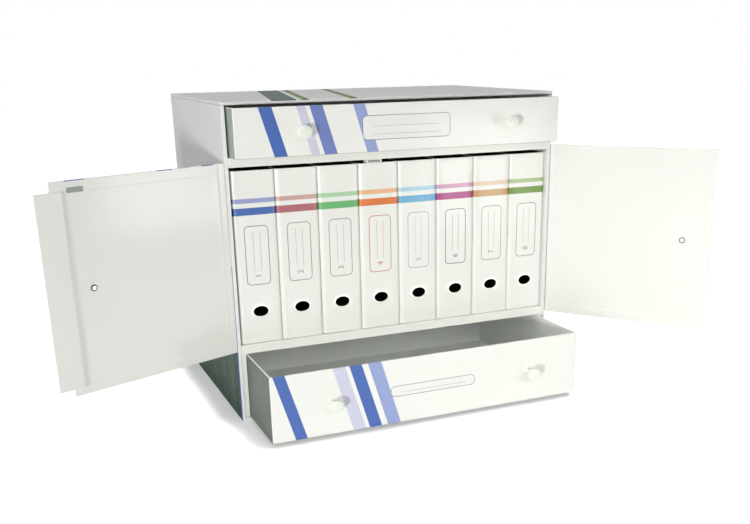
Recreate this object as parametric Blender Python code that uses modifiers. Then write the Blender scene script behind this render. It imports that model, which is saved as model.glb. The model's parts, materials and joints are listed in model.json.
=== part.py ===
"""Covered board cabinet with two drawers, two doors and a bay of eight lever-arch files.

Lengths are in metres and angles in radians, +Z is up. The origin is the middle of the
cabinet's underside, +X is to the right of someone who faces the doors, and the drawers pull
out along -Y. The case is sized from the files that it holds, board by board.
"""
import math

import bmesh
import bpy

# Clearances shared by all pieces
GLUE_GAP = 0.0003
RUN_GAP = 0.0003
CUT_OVERRUN = 0.004
EDGE_ROUND = 0.0005
THIN_EDGE_SHARE = 0.33
MERGE_DISTANCE = 0.00001

# Lever-arch files
FILE_COUNT = 8
FILE_WIDTH = 0.080
FILE_HEIGHT = 0.318
FILE_DEPTH = 0.285
FILE_BOARD = 0.0026
FILE_SPACING = 0.0008
FINGER_HOLE_WIDTH = 0.030
FINGER_HOLE_HEIGHT = 0.021
FINGER_HOLE_CENTRE = 0.060
HOLE_STEPS = 32

# Lever-arch mechanism inside each file
PLATE_THICKNESS = 0.0012
PLATE_DEPTH = 0.052
PLATE_HEIGHT = 0.150
PLATE_FROM_SPINE = 0.050
ARCH_SPACING = 0.080
ARCH_WIRE_RADIUS = 0.0014
ARCH_SUNK = 0.0005
ARCH_HALF_WIDTH = 0.017
ARCH_REACH = 0.056
ARCH_STEPS = 10
LEVER_END_ROOM = 0.012
LEVER_WIDTH = 0.012
LEVER_THICKNESS = 0.0016
LEVER_TILT = math.radians(24)

# Bay that holds the files
BAY_LEFT_CLEARANCE = 0.0037
BAY_RIGHT_CLEARANCE = 0.0007
FILE_HEADROOM = 0.0067
FILE_RECESS = 0.006
STOP_CLEARANCE = 0.002
STOP_BOARD = 0.004
REAR_SPACE = 0.139

# Case boards
SIDE_BOARD = 0.007
TOP_BOARD = 0.0055
BOTTOM_BOARD = 0.006
BACK_BOARD = 0.004
SHELF_BOARD = 0.017
DIVIDER_BOARD = 0.017
BOTTOM_BAY_HEIGHT = 0.127
TOP_BAY_HEIGHT = 0.0885
GUIDE_BOARD = 0.0084
GUIDE_RECESS = 0.002

# Drawers
DRAWER_FRONT_BOARD = 0.004
DRAWER_SIDE_BOARD = 0.003
DRAWER_FLOOR_BOARD = 0.003
DRAWER_FRONT_LIFT = 0.001
DRAWER_REAR_CLEARANCE = 0.036
TOP_DRAWER_SIDE_CLEARANCE = 0.0035
TOP_DRAWER_HEADROOM = 0.0032
TOP_DRAWER_OUT = 0.0405
BOTTOM_DRAWER_SIDE_CLEARANCE = 0.0006
BOTTOM_DRAWER_HEADROOM = 0.0014
BOTTOM_DRAWER_OUT = 0.149
DRAWER_KNOB_OFFSET = 0.204

# Doors
DOOR_BOARD = 0.004
DOOR_LAP_ON_SHELF = 0.0115
DOOR_LAP_ON_DIVIDER = 0.009
LEFT_DOOR_SHORT_OF_CENTRE = 0.008
RIGHT_DOOR_SHORT_OF_CENTRE = 0.004
LEFT_DOOR_OPEN = math.radians(158)
RIGHT_DOOR_OPEN = math.radians(128)
DOOR_KNOB_FROM_EDGE = 0.054
HINGE_CLOTH = 0.0005
HINGE_CLOTH_WIDTH = 0.020
HINGE_CLOTH_END_MARGIN = 0.002

# Strip on the left door that closes the gap between the doors
STRIP_THICKNESS = 0.003
STRIP_ON_DOOR = 0.028
STRIP_PAST_DOOR = 0.027
STRIP_ABOVE_SHELF = 0.002
STRIP_BELOW_CATCH = 0.0012

# Magnetic catch under the divider and its strike plate on the left door
CATCH_WIDTH = 0.030
CATCH_HEIGHT = 0.0055
CATCH_DEPTH = 0.016
MAGNET_WIDTH = 0.024
MAGNET_HEIGHT = 0.0032
MAGNET_DEPTH = 0.012
STRIKE_WIDTH = 0.027
STRIKE_HEIGHT = 0.008
STRIKE_THICKNESS = 0.001
STRIKE_TOP_BELOW_DIVIDER = 0.002

# Knobs and their screws
KNOB_LENGTH = 0.030
KNOB_RIM_RADIUS = 0.0110
KNOB_NECK_RADIUS = 0.0048
KNOB_FOOT_RADIUS = 0.0056
KNOB_EDGE_RADIUS = 0.0016
KNOB_DOME = 0.0008
KNOB_FOOT_HEIGHT = 0.003
KNOB_BREADTH_SHARE = 1.3
KNOB_TURN_STEPS = 24
FACE_STEPS = 2
EDGE_STEPS = 3
FLARE_STEPS = 5
FLARE_POWER = 3.2
SCREW_RADIUS = 0.002
SCREW_CLEARANCE = 0.0004
SCREW_DEPTH_IN_KNOB = 0.012
SCREW_END_ROOM = 0.001
SCREW_HEAD_RADIUS = 0.0055
SCREW_HEAD_HEIGHT = 0.0022
SCREW_CROWN_SHARE = 0.7
SCREW_STEPS = 16

# Overall sizes, worked out from the sizes above
FILE_PITCH = FILE_WIDTH + FILE_SPACING
BAY_WIDTH = (BAY_LEFT_CLEARANCE + FILE_COUNT * FILE_PITCH - FILE_SPACING + BAY_RIGHT_CLEARANCE)
CASE_WIDTH = BAY_WIDTH + 2 * SIDE_BOARD
CASE_DEPTH = FILE_RECESS + FILE_DEPTH + STOP_CLEARANCE + STOP_BOARD + REAR_SPACE + BACK_BOARD
SHELF_UNDERSIDE = BOTTOM_BOARD + BOTTOM_BAY_HEIGHT
SHELF_TOP = SHELF_UNDERSIDE + SHELF_BOARD
FILE_BASE = SHELF_TOP + GLUE_GAP
DIVIDER_UNDERSIDE = FILE_BASE + FILE_HEIGHT + FILE_HEADROOM
DIVIDER_TOP = DIVIDER_UNDERSIDE + DIVIDER_BOARD
TOP_BOARD_UNDERSIDE = DIVIDER_TOP + TOP_BAY_HEIGHT
CASE_HEIGHT = TOP_BOARD_UNDERSIDE + TOP_BOARD
HALF_CASE = CASE_WIDTH / 2
HALF_BAY = BAY_WIDTH / 2
FRONT = -CASE_DEPTH / 2
REAR = CASE_DEPTH / 2
BOARD_REAR = REAR - BACK_BOARD - GLUE_GAP
HALF_SHELF = HALF_BAY - GLUE_GAP
HINGE_Y = FRONT - GLUE_GAP
DOOR_BOTTOM = SHELF_TOP - DOOR_LAP_ON_SHELF
DOOR_TOP = DIVIDER_UNDERSIDE + DOOR_LAP_ON_DIVIDER
CATCH_TOP = DIVIDER_UNDERSIDE - GLUE_GAP
CATCH_BOTTOM = CATCH_TOP - CATCH_HEIGHT

# Colours of the pieces (red, green, blue), roughness and metallic share
FINISHES = {
    "covered_board": ((0.82, 0.83, 0.80), 0.32, 0.0),
    "plain_board": ((0.34, 0.34, 0.32), 0.85, 0.0),
    "hinge_cloth": ((0.80, 0.81, 0.78), 0.60, 0.0),
    "file_board": ((0.86, 0.87, 0.84), 0.38, 0.0),
    "steel": ((0.62, 0.63, 0.64), 0.28, 1.0),
    "knob_plastic": ((0.86, 0.88, 0.85), 0.22, 0.0),
    "catch_plastic": ((0.85, 0.85, 0.83), 0.45, 0.0),
    "magnet_ferrite": ((0.07, 0.07, 0.07), 0.60, 0.0),
}


def clear_scene():
    """Removes every object that the file opened with."""
    for obj in list(bpy.data.objects):
        bpy.data.objects.remove(obj, do_unlink=True)


def new_collection(name):
    """Adds a collection to the scene."""
    group = bpy.data.collections.new(name)
    bpy.context.scene.collection.children.link(group)
    return group


def make_material(node_name, finish):
    """Returns a material of its own for a piece, with the colour and gloss of its finish."""
    colour, roughness, metallic = FINISHES[finish]
    material = bpy.data.materials.new(node_name + "_" + finish)
    material.use_nodes = True
    shader = material.node_tree.nodes["Principled BSDF"]
    shader.inputs["Base Color"].default_value = (*colour, 1.0)
    shader.inputs["Roughness"].default_value = roughness
    shader.inputs["Metallic"].default_value = metallic
    return material


def add_pivot(name, location, turn=0.0):
    """Adds an empty that carries the pieces which move together."""
    pivot = bpy.data.objects.new(name, None)
    pivot.empty_display_size = SIDE_BOARD
    pivot.location = location
    pivot.rotation_euler = (0.0, 0.0, turn)
    parts.objects.link(pivot)
    return pivot


def add_piece(name, mesh, finish, location, pivot):
    """Puts a mesh in the scene as a named piece carried by a pivot."""
    piece = bpy.data.objects.new(name, mesh)
    parts.objects.link(piece)
    piece.parent = pivot
    piece.location = location
    material = make_material(name, finish)
    if not mesh.materials:
        mesh.materials.append(material)
    piece.material_slots[0].link = "OBJECT"
    piece.material_slots[0].material = material
    return piece


def add_cutter(name, mesh, pivot=None):
    """Adds a shape that only cuts or joins, kept apart from the pieces."""
    cutter = bpy.data.objects.new(name, mesh)
    cutter.parent = pivot
    cutter.hide_render = True
    cutter.display_type = "WIRE"
    cutters.objects.link(cutter)
    return cutter


def mesh_from(shape, name):
    """Turns a bmesh into a mesh and frees it."""
    mesh = bpy.data.meshes.new(name)
    shape.to_mesh(mesh)
    shape.free()
    return mesh


def block_mesh(name, size, centre=(0.0, 0.0, 0.0)):
    """Returns a block of the given size about a centre."""
    shape = bmesh.new()
    bmesh.ops.create_cube(shape, size=1.0)
    bmesh.ops.scale(shape, vec=size, verts=shape.verts)
    bmesh.ops.translate(shape, vec=centre, verts=shape.verts)
    return mesh_from(shape, name)


def span(first, second):
    """Returns the middle and the length between two places on a line."""
    return (first + second) / 2, abs(second - first)


def add_board(name, x_ends, y_ends, z_ends, finish, pivot, round_edges=True):
    """Adds a flat board between pairs of limits, given in its pivot's frame."""
    spans = [span(*ends) for ends in (x_ends, y_ends, z_ends)]
    centre = [middle for middle, length in spans]
    size = [length for middle, length in spans]
    board = add_piece(name, block_mesh(name, size), finish, centre, pivot)
    if round_edges:
        bevel = board.modifiers.new("rounded_edges", "BEVEL")
        bevel.width = min(EDGE_ROUND, min(size) * THIN_EDGE_SHARE)
        bevel.segments = 1
        bevel.limit_method = "ANGLE"
    return board


def rod_mesh(name, radius, y_start, y_end):
    """Returns a round rod along Y."""
    middle, length = span(y_start, y_end)
    shape = bmesh.new()
    bmesh.ops.create_cone(
        shape, cap_ends=True, segments=SCREW_STEPS, radius1=radius, radius2=radius, depth=length)
    for vert in shape.verts:
        vert.co = (vert.co.x, middle - vert.co.z, vert.co.y)
    return mesh_from(shape, name)


def cut_hole(piece, board, x, z, pivot):
    """Cuts a screw's clearance hole through a board that faces along Y."""
    middle_y = piece.location.y
    reach = board + CUT_OVERRUN
    mesh = rod_mesh("screw_hole", SCREW_RADIUS + SCREW_CLEARANCE, middle_y - reach, middle_y + reach)
    cutter = add_cutter("%s_hole_cutter" % piece.name, mesh, pivot)
    cutter.location = (x, 0.0, z)
    cut = piece.modifiers.new("screw_hole", "BOOLEAN")
    cut.operation = "DIFFERENCE"
    cut.solver = "EXACT"
    cut.object = cutter


def evaluated_mesh(obj, name):
    """Returns the mesh of an object with its modifiers worked out."""
    bpy.context.view_layer.update()
    graph = bpy.context.evaluated_depsgraph_get()
    mesh = bpy.data.meshes.new_from_object(obj.evaluated_get(graph), depsgraph=graph)
    mesh.name = name
    return mesh


def shade_round(mesh):
    """Shades a turned mesh smooth and keeps its sharp rims."""
    mesh.shade_smooth()
    mesh.set_sharp_from_angle(angle=math.radians(35))


def turned_mesh(name, points, steps):
    """Returns the closed shape that a profile of (radius, height) points gives when turned about Z.

    The points run from the top of the axis down the outer side and back to the axis.
    """
    profile = bpy.data.meshes.new(name + "_profile")
    edges = [(index, index + 1) for index in range(len(points) - 1)]
    profile.from_pydata([(radius, 0.0, height) for radius, height in points], edges, [])
    turned = bpy.data.objects.new(name + "_profile", profile)
    cutters.objects.link(turned)
    screw = turned.modifiers.new("turn", "SCREW")
    screw.axis = "Z"
    screw.steps = steps
    screw.render_steps = steps
    screw.use_merge_vertices = True
    screw.merge_threshold = MERGE_DISTANCE
    mesh = evaluated_mesh(turned, name)
    bpy.data.objects.remove(turned, do_unlink=True)
    shade_round(mesh)
    return mesh


def build_knob_mesh():
    """Returns the knob: a foot, a waist that flares in a power curve, a round rim and a domed face.

    The profile goes from the middle of the face down the outer side to the foot, and then up
    the bore that takes the screw.
    """
    rim_flat = KNOB_RIM_RADIUS - KNOB_EDGE_RADIUS
    face_height = KNOB_LENGTH - KNOB_DOME
    points = []
    for step in range(FACE_STEPS + 1):
        share = step / FACE_STEPS
        points.append((rim_flat * share, KNOB_LENGTH - KNOB_DOME * share * share))
    for step in range(1, EDGE_STEPS + 1):
        angle = math.pi / 2 - math.pi * step / (EDGE_STEPS + 1)
        edge_radius = rim_flat + KNOB_EDGE_RADIUS * math.cos(angle)
        edge_height = face_height - KNOB_EDGE_RADIUS + KNOB_EDGE_RADIUS * math.sin(angle)
        points.append((edge_radius, edge_height))
    flare_top = face_height - 2 * KNOB_EDGE_RADIUS
    for step in range(FLARE_STEPS + 1):
        share = 1 - step / FLARE_STEPS
        radius = KNOB_NECK_RADIUS + (rim_flat - KNOB_NECK_RADIUS) * share ** FLARE_POWER
        points.append((radius, KNOB_FOOT_HEIGHT + (flare_top - KNOB_FOOT_HEIGHT) * share))
    bore_radius = SCREW_RADIUS + SCREW_CLEARANCE
    bore_depth = SCREW_DEPTH_IN_KNOB + SCREW_END_ROOM
    points += [(KNOB_FOOT_RADIUS, 0.0), (bore_radius, 0.0), (bore_radius, bore_depth), (0.0, bore_depth)]
    return turned_mesh("knob", points, KNOB_TURN_STEPS)


def build_screw_mesh(board):
    """Returns a pan-head screw: its shank goes through a board, up into the knob's bore.

    Height 0 is the knob's foot, and the board and the head are below it.
    """
    head_face = -(GLUE_GAP + board + GLUE_GAP)
    head_end = head_face - SCREW_HEAD_HEIGHT
    points = [
        (0.0, SCREW_DEPTH_IN_KNOB),
        (SCREW_RADIUS, SCREW_DEPTH_IN_KNOB),
        (SCREW_RADIUS, head_face),
        (SCREW_HEAD_RADIUS, head_face),
        (SCREW_HEAD_RADIUS, (head_face + head_end) / 2),
        (SCREW_HEAD_RADIUS * SCREW_CROWN_SHARE, head_end),
        (0.0, head_end),
    ]
    return turned_mesh("knob_screw", points, SCREW_STEPS)


def add_knob(name, board_piece, board, x, z, pivot, front_y):
    """Seats a knob on a board's front face, with its screw through a hole from behind."""
    seat = (x, front_y - GLUE_GAP, z)
    cut_hole(board_piece, board, x, z, pivot)
    knob = add_piece(name, knob_mesh.copy(), "knob_plastic", seat, pivot)
    knob.rotation_euler = (math.pi / 2, 0.0, 0.0)
    knob.scale = (KNOB_BREADTH_SHARE, 1.0, 1.0)
    screw = add_piece(name + "_screw", build_screw_mesh(board), "steel", seat, pivot)
    screw.rotation_euler = (math.pi / 2, 0.0, 0.0)


def build_case(pivot):
    """Adds the case: walls, top, bottom, back, the two shelves, the stop board and the guides."""
    wall_top = TOP_BOARD_UNDERSIDE - GLUE_GAP
    for side, name in ((-1, "left_side_wall"), (1, "right_side_wall")):
        x_ends = (side * HALF_CASE, side * HALF_BAY)
        add_board(name, x_ends, (FRONT, REAR), (0.0, wall_top), "covered_board", pivot)
    full_width = (-HALF_CASE, HALF_CASE)
    between_walls = (-HALF_SHELF, HALF_SHELF)
    case_z = (TOP_BOARD_UNDERSIDE, CASE_HEIGHT)
    add_board("top_board", full_width, (FRONT, REAR), case_z, "covered_board", pivot)
    shelf_y = (FRONT, BOARD_REAR)
    add_board("bottom_board", between_walls, shelf_y, (0.0, BOTTOM_BOARD), "covered_board", pivot)
    shelf_z = (SHELF_UNDERSIDE, SHELF_TOP)
    add_board("shelf_board", between_walls, shelf_y, shelf_z, "covered_board", pivot)
    divider_z = (DIVIDER_UNDERSIDE, DIVIDER_TOP)
    add_board("divider_board", between_walls, shelf_y, divider_z, "covered_board", pivot)
    back_y = (REAR - BACK_BOARD, REAR)
    add_board("back_board", between_walls, back_y, (0.0, wall_top), "covered_board", pivot)
    stop_front = FRONT + FILE_RECESS + FILE_DEPTH + STOP_CLEARANCE
    stop_y = (stop_front, stop_front + STOP_BOARD)
    stop_z = (SHELF_TOP + GLUE_GAP, DIVIDER_UNDERSIDE - GLUE_GAP)
    add_board("bay_stop_board", between_walls, stop_y, stop_z, "covered_board", pivot)
    for side, name in ((-1, "left_drawer_guide"), (1, "right_drawer_guide")):
        x_ends = (side * HALF_SHELF, side * (HALF_SHELF - GUIDE_BOARD))
        guide_z = (BOTTOM_BOARD + GLUE_GAP, SHELF_UNDERSIDE - GLUE_GAP)
        add_board(name, x_ends, (FRONT + GUIDE_RECESS, BOARD_REAR), guide_z, "covered_board", pivot)


def build_case_hinge_cloths(pivot):
    """Adds the leaf of each door's cloth hinge that is glued to the outside of the case.

    It starts behind the room that the edge of a door swung right round takes up.
    """
    cloth_front = FRONT + DOOR_BOARD + HINGE_CLOTH + 2 * GLUE_GAP
    for side, name in ((-1, "left_case_hinge_cloth"), (1, "right_case_hinge_cloth")):
        inner = HALF_CASE + GLUE_GAP
        x_ends = (side * inner, side * (inner + HINGE_CLOTH))
        y_ends = (cloth_front, cloth_front + HINGE_CLOTH_WIDTH)
        z_ends = (DOOR_BOTTOM + HINGE_CLOTH_END_MARGIN, DOOR_TOP - HINGE_CLOTH_END_MARGIN)
        add_board(name, x_ends, y_ends, z_ends, "hinge_cloth", pivot, round_edges=False)


def strike_centre():
    """Returns the strike plate's distance from the left hinge axis, beside the strip."""
    left_door_width = HALF_CASE - LEFT_DOOR_SHORT_OF_CENTRE
    return left_door_width - STRIP_ON_DOOR - GLUE_GAP - STRIKE_WIDTH / 2


def build_catch(pivot):
    """Adds the magnetic catch under the divider, level with the strike plate of the closed door."""
    centre_x = -HALF_CASE + strike_centre()
    face_y = FRONT + GLUE_GAP + STRIKE_THICKNESS
    x_ends = (centre_x - CATCH_WIDTH / 2, centre_x + CATCH_WIDTH / 2)
    y_ends = (face_y, face_y + CATCH_DEPTH)
    z_ends = (CATCH_BOTTOM, CATCH_TOP)
    housing = add_board("catch_housing", x_ends, y_ends, z_ends, "catch_plastic", pivot, round_edges=False)
    middle_z = (CATCH_TOP + CATCH_BOTTOM) / 2
    pocket_size = (MAGNET_WIDTH + 2 * GLUE_GAP, 2 * (MAGNET_DEPTH + GLUE_GAP), MAGNET_HEIGHT + 2 * GLUE_GAP)
    pocket = add_cutter("catch_pocket_cutter", block_mesh("catch_pocket", pocket_size), pivot)
    pocket.location = (centre_x, face_y, middle_z)
    cut = housing.modifiers.new("magnet_pocket", "BOOLEAN")
    cut.operation = "DIFFERENCE"
    cut.solver = "EXACT"
    cut.object = pocket
    x_ends = (centre_x - MAGNET_WIDTH / 2, centre_x + MAGNET_WIDTH / 2)
    y_ends = (face_y, face_y + MAGNET_DEPTH)
    z_ends = (middle_z - MAGNET_HEIGHT / 2, middle_z + MAGNET_HEIGHT / 2)
    add_board("catch_magnet", x_ends, y_ends, z_ends, "magnet_ferrite", pivot, round_edges=False)


def build_drawer(prefix, out, base_z, half_width, height):
    """Adds a drawer: a front with two knobs, and a tray of two sides, a floor and a back."""
    pivot = add_pivot(prefix + "_slide", (0.0, FRONT - out, base_z))
    full_width = (-half_width, half_width)
    front_y = (0.0, DRAWER_FRONT_BOARD)
    front_z = (DRAWER_FRONT_LIFT, height)
    front = add_board(prefix + "_front", full_width, front_y, front_z, "covered_board", pivot)
    tray_start = DRAWER_FRONT_BOARD + GLUE_GAP
    tray_end = CASE_DEPTH - BACK_BOARD - DRAWER_REAR_CLEARANCE
    for side, word in ((-1, "left"), (1, "right")):
        x_ends = (side * half_width, side * (half_width - DRAWER_SIDE_BOARD))
        name = "%s_%s_side" % (prefix, word)
        add_board(name, x_ends, (tray_start, tray_end), (0.0, height), "plain_board", pivot)
    inner_half = half_width - DRAWER_SIDE_BOARD - GLUE_GAP
    between_sides = (-inner_half, inner_half)
    back_start = tray_end - DRAWER_SIDE_BOARD
    floor_y = (tray_start, back_start - GLUE_GAP)
    floor_z = (0.0, DRAWER_FLOOR_BOARD)
    add_board(prefix + "_floor", between_sides, floor_y, floor_z, "plain_board", pivot)
    add_board(prefix + "_back", between_sides, (back_start, tray_end), (0.0, height), "plain_board", pivot)
    knob_z = (DRAWER_FRONT_LIFT + height) / 2
    for side, word in ((-1, "left"), (1, "right")):
        name = "%s_%s_knob" % (prefix, word)
        add_knob(name, front, DRAWER_FRONT_BOARD, side * DRAWER_KNOB_OFFSET, knob_z, pivot, 0.0)


def build_door(prefix, side, width, opening):
    """Adds a door on its hinge axis; side is -1 for the left door and +1 for the right one.

    The pieces are placed as on the closed door, which runs from the axis towards the middle of
    the case with its inner face in the hinge plane, and the pivot's turn opens them.
    """
    pivot = add_pivot(prefix + "_hinge", (side * HALF_CASE, HINGE_Y, 0.0), side * opening)
    x_ends = (-side * GLUE_GAP, -side * width)
    z_ends = (DOOR_BOTTOM, DOOR_TOP)
    outer_y = -DOOR_BOARD
    panel = add_board(prefix + "_panel", x_ends, (outer_y, 0.0), z_ends, "covered_board", pivot)
    cloth_x = (-side * GLUE_GAP, -side * (GLUE_GAP + HINGE_CLOTH_WIDTH))
    cloth_y = (outer_y - GLUE_GAP - HINGE_CLOTH, outer_y - GLUE_GAP)
    cloth_z = (DOOR_BOTTOM + HINGE_CLOTH_END_MARGIN, DOOR_TOP - HINGE_CLOTH_END_MARGIN)
    cloth_name = prefix + "_hinge_cloth"
    add_board(cloth_name, cloth_x, cloth_y, cloth_z, "hinge_cloth", pivot, round_edges=False)
    knob_x = -side * (width - DOOR_KNOB_FROM_EDGE)
    knob_z = (DOOR_BOTTOM + DOOR_TOP) / 2
    add_knob(prefix + "_knob", panel, DOOR_BOARD, knob_x, knob_z, pivot, outer_y)
    return pivot


def build_left_door():
    """Adds the left door with the strip that covers the middle gap and the strike plate."""
    width = HALF_CASE - LEFT_DOOR_SHORT_OF_CENTRE
    pivot = build_door("left_door", -1, width, LEFT_DOOR_OPEN)
    strip_x = (width - STRIP_ON_DOOR, width + STRIP_PAST_DOOR)
    strip_y = (GLUE_GAP, GLUE_GAP + STRIP_THICKNESS)
    strip_z = (SHELF_TOP + STRIP_ABOVE_SHELF, CATCH_BOTTOM - STRIP_BELOW_CATCH)
    add_board("left_door_overlap_strip", strip_x, strip_y, strip_z, "covered_board", pivot)
    centre = strike_centre()
    strike_x = (centre - STRIKE_WIDTH / 2, centre + STRIKE_WIDTH / 2)
    strike_y = (GLUE_GAP, GLUE_GAP + STRIKE_THICKNESS)
    strike_top = DIVIDER_UNDERSIDE - STRIKE_TOP_BELOW_DIVIDER
    strike_z = (strike_top - STRIKE_HEIGHT, strike_top)
    add_board("left_door_strike_plate", strike_x, strike_y, strike_z, "steel", pivot)


def build_cover_mesh():
    """Returns a file's cover: two boards and a spine with an oval finger hole.

    Its spine's outer face is at y = 0 and its foot at z = 0, and it is open at the back, top
    and bottom.
    """
    half = FILE_WIDTH / 2
    corners = [(-half, FILE_DEPTH), (-half, 0.0), (half, 0.0), (half, FILE_DEPTH)]
    shape = bmesh.new()
    low = [shape.verts.new((x, y, 0.0)) for x, y in corners]
    high = [shape.verts.new((x, y, FILE_HEIGHT)) for x, y in corners]
    for index in range(len(corners) - 1):
        shape.faces.new((low[index], low[index + 1], high[index + 1], high[index]))
    shell = bpy.data.objects.new("cover_shell", mesh_from(shape, "cover_shell"))
    cutters.objects.link(shell)
    thicken = shell.modifiers.new("board", "SOLIDIFY")
    thicken.thickness = FILE_BOARD
    thicken.offset = -1.0
    thicken.use_even_offset = True
    hole = bmesh.new()
    bmesh.ops.create_cone(
        hole, cap_ends=True, segments=HOLE_STEPS, radius1=FINGER_HOLE_WIDTH / 2,
        radius2=FINGER_HOLE_WIDTH / 2, depth=2 * (FILE_BOARD + CUT_OVERRUN))
    height_share = FINGER_HOLE_HEIGHT / FINGER_HOLE_WIDTH
    for vert in hole.verts:
        vert.co = (vert.co.x, -vert.co.z, FINGER_HOLE_CENTRE + vert.co.y * height_share)
    cutter = add_cutter("finger_hole_cutter", mesh_from(hole, "finger_hole"))
    cut = shell.modifiers.new("finger_hole", "BOOLEAN")
    cut.operation = "DIFFERENCE"
    cut.solver = "EXACT"
    cut.object = cutter
    mesh = evaluated_mesh(shell, "file_cover")
    bpy.data.objects.remove(shell, do_unlink=True)
    bpy.data.objects.remove(cutter, do_unlink=True)
    return mesh


def arch_mesh(z):
    """Returns one arch of the mechanism: a half ellipse of wire that stands on the plate."""
    curve = bpy.data.curves.new("arch", "CURVE")
    curve.dimensions = "3D"
    curve.bevel_depth = ARCH_WIRE_RADIUS
    curve.bevel_resolution = 2
    curve.use_fill_caps = True
    spline = curve.splines.new("POLY")
    spline.points.add(ARCH_STEPS)
    middle_y = PLATE_DEPTH / 2
    for step, point in enumerate(spline.points):
        angle = math.pi * step / ARCH_STEPS
        point.co = (ARCH_REACH * math.sin(angle), middle_y + ARCH_HALF_WIDTH * math.cos(angle), z, 1.0)
    holder = bpy.data.objects.new("arch", curve)
    cutters.objects.link(holder)
    mesh = evaluated_mesh(holder, "arch")
    bpy.data.objects.remove(holder, do_unlink=True)
    welded = bmesh.new()
    welded.from_mesh(mesh)
    bmesh.ops.remove_doubles(welded, verts=welded.verts, dist=MERGE_DISTANCE)
    bmesh.ops.recalc_face_normals(welded, faces=welded.faces)
    bpy.data.meshes.remove(mesh)
    return mesh_from(welded, "arch")


def build_mechanism_mesh():
    """Returns the lever-arch mechanism: a base plate, two wire arches and the lever, in one body.

    The plate's back is at x = 0, its near edge at y = 0 and its foot at z = 0. The lever ends
    short of the file's top.
    """
    plate_centre = (PLATE_THICKNESS / 2, PLATE_DEPTH / 2, PLATE_HEIGHT / 2)
    plate_size = (PLATE_THICKNESS, PLATE_DEPTH, PLATE_HEIGHT)
    plate = bpy.data.objects.new("plate", block_mesh("plate", plate_size, plate_centre))
    cutters.objects.link(plate)
    joined = []
    for side in (-1, 1):
        arch = add_cutter("arch_joiner", arch_mesh(PLATE_HEIGHT / 2 + side * ARCH_SPACING / 2))
        arch.location = (PLATE_THICKNESS - ARCH_SUNK, 0.0, 0.0)
        joined.append(arch)
    lever_foot = PLATE_HEIGHT - LEVER_WIDTH
    lever_rise = (FILE_HEIGHT + PLATE_HEIGHT) / 2 - LEVER_END_ROOM - lever_foot
    lever_length = lever_rise / math.cos(LEVER_TILT)
    lever_size = (LEVER_THICKNESS, LEVER_WIDTH, lever_length)
    lever = add_cutter("lever_joiner", block_mesh("lever", lever_size, (0.0, 0.0, lever_length / 2)))
    lever.rotation_euler = (0.0, LEVER_TILT, 0.0)
    lever.location = (PLATE_THICKNESS / 2, PLATE_DEPTH / 2, lever_foot)
    joined.append(lever)
    for item in joined:
        join = plate.modifiers.new("join", "BOOLEAN")
        join.operation = "UNION"
        join.solver = "EXACT"
        join.object = item
    mesh = evaluated_mesh(plate, "file_mechanism")
    for item in joined + [plate]:
        bpy.data.objects.remove(item, do_unlink=True)
    return mesh


def build_files():
    """Adds the row of files, each on its own slide, with its mechanism on its left board."""
    cover_mesh = build_cover_mesh()
    mechanism_mesh = build_mechanism_mesh()
    first_x = -HALF_BAY + BAY_LEFT_CLEARANCE + FILE_WIDTH / 2
    for index in range(FILE_COUNT):
        number = index + 1
        place = (first_x + index * FILE_PITCH, FRONT + FILE_RECESS, FILE_BASE)
        pivot = add_pivot("file_%d_slide" % number, place)
        add_piece("file_%d_cover" % number, cover_mesh.copy(), "file_board", (0.0, 0.0, 0.0), pivot)
        plate_x = -FILE_WIDTH / 2 + FILE_BOARD + GLUE_GAP
        plate_place = (plate_x, FILE_BOARD + PLATE_FROM_SPINE, (FILE_HEIGHT - PLATE_HEIGHT) / 2)
        name = "file_%d_mechanism" % number
        add_piece(name, mechanism_mesh.copy(), "steel", plate_place, pivot)


def build_cabinet():
    """Builds every piece."""
    cabinet = add_pivot("cabinet", (0.0, 0.0, 0.0))
    build_case(cabinet)
    build_case_hinge_cloths(cabinet)
    build_catch(cabinet)
    top_half = HALF_BAY - TOP_DRAWER_SIDE_CLEARANCE
    top_height = TOP_BAY_HEIGHT - RUN_GAP - TOP_DRAWER_HEADROOM
    build_drawer("top_drawer", TOP_DRAWER_OUT, DIVIDER_TOP + RUN_GAP, top_half, top_height)
    bottom_half = HALF_SHELF - GUIDE_BOARD - BOTTOM_DRAWER_SIDE_CLEARANCE
    bottom_height = BOTTOM_BAY_HEIGHT - RUN_GAP - BOTTOM_DRAWER_HEADROOM
    build_drawer("bottom_drawer", BOTTOM_DRAWER_OUT, BOTTOM_BOARD + RUN_GAP, bottom_half, bottom_height)
    build_left_door()
    build_door("right_door", 1, HALF_CASE - RIGHT_DOOR_SHORT_OF_CENTRE, RIGHT_DOOR_OPEN)
    build_files()


clear_scene()
parts = new_collection("covered_board_cabinet")
cutters = new_collection("cutters")
knob_mesh = build_knob_mesh()
build_cabinet()
bpy.context.view_layer.update()
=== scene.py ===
"""Looks of the covered board cabinet with files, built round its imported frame.

Lengths are in metres and angles in radians. The places of the pieces come from the frame's
boxes, and a door's pieces are worked out on the closed door and turned to where it stands open.
"""

import json
import math

import bmesh
import bpy
import numpy as np
from mathutils import Matrix, Vector


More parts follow.
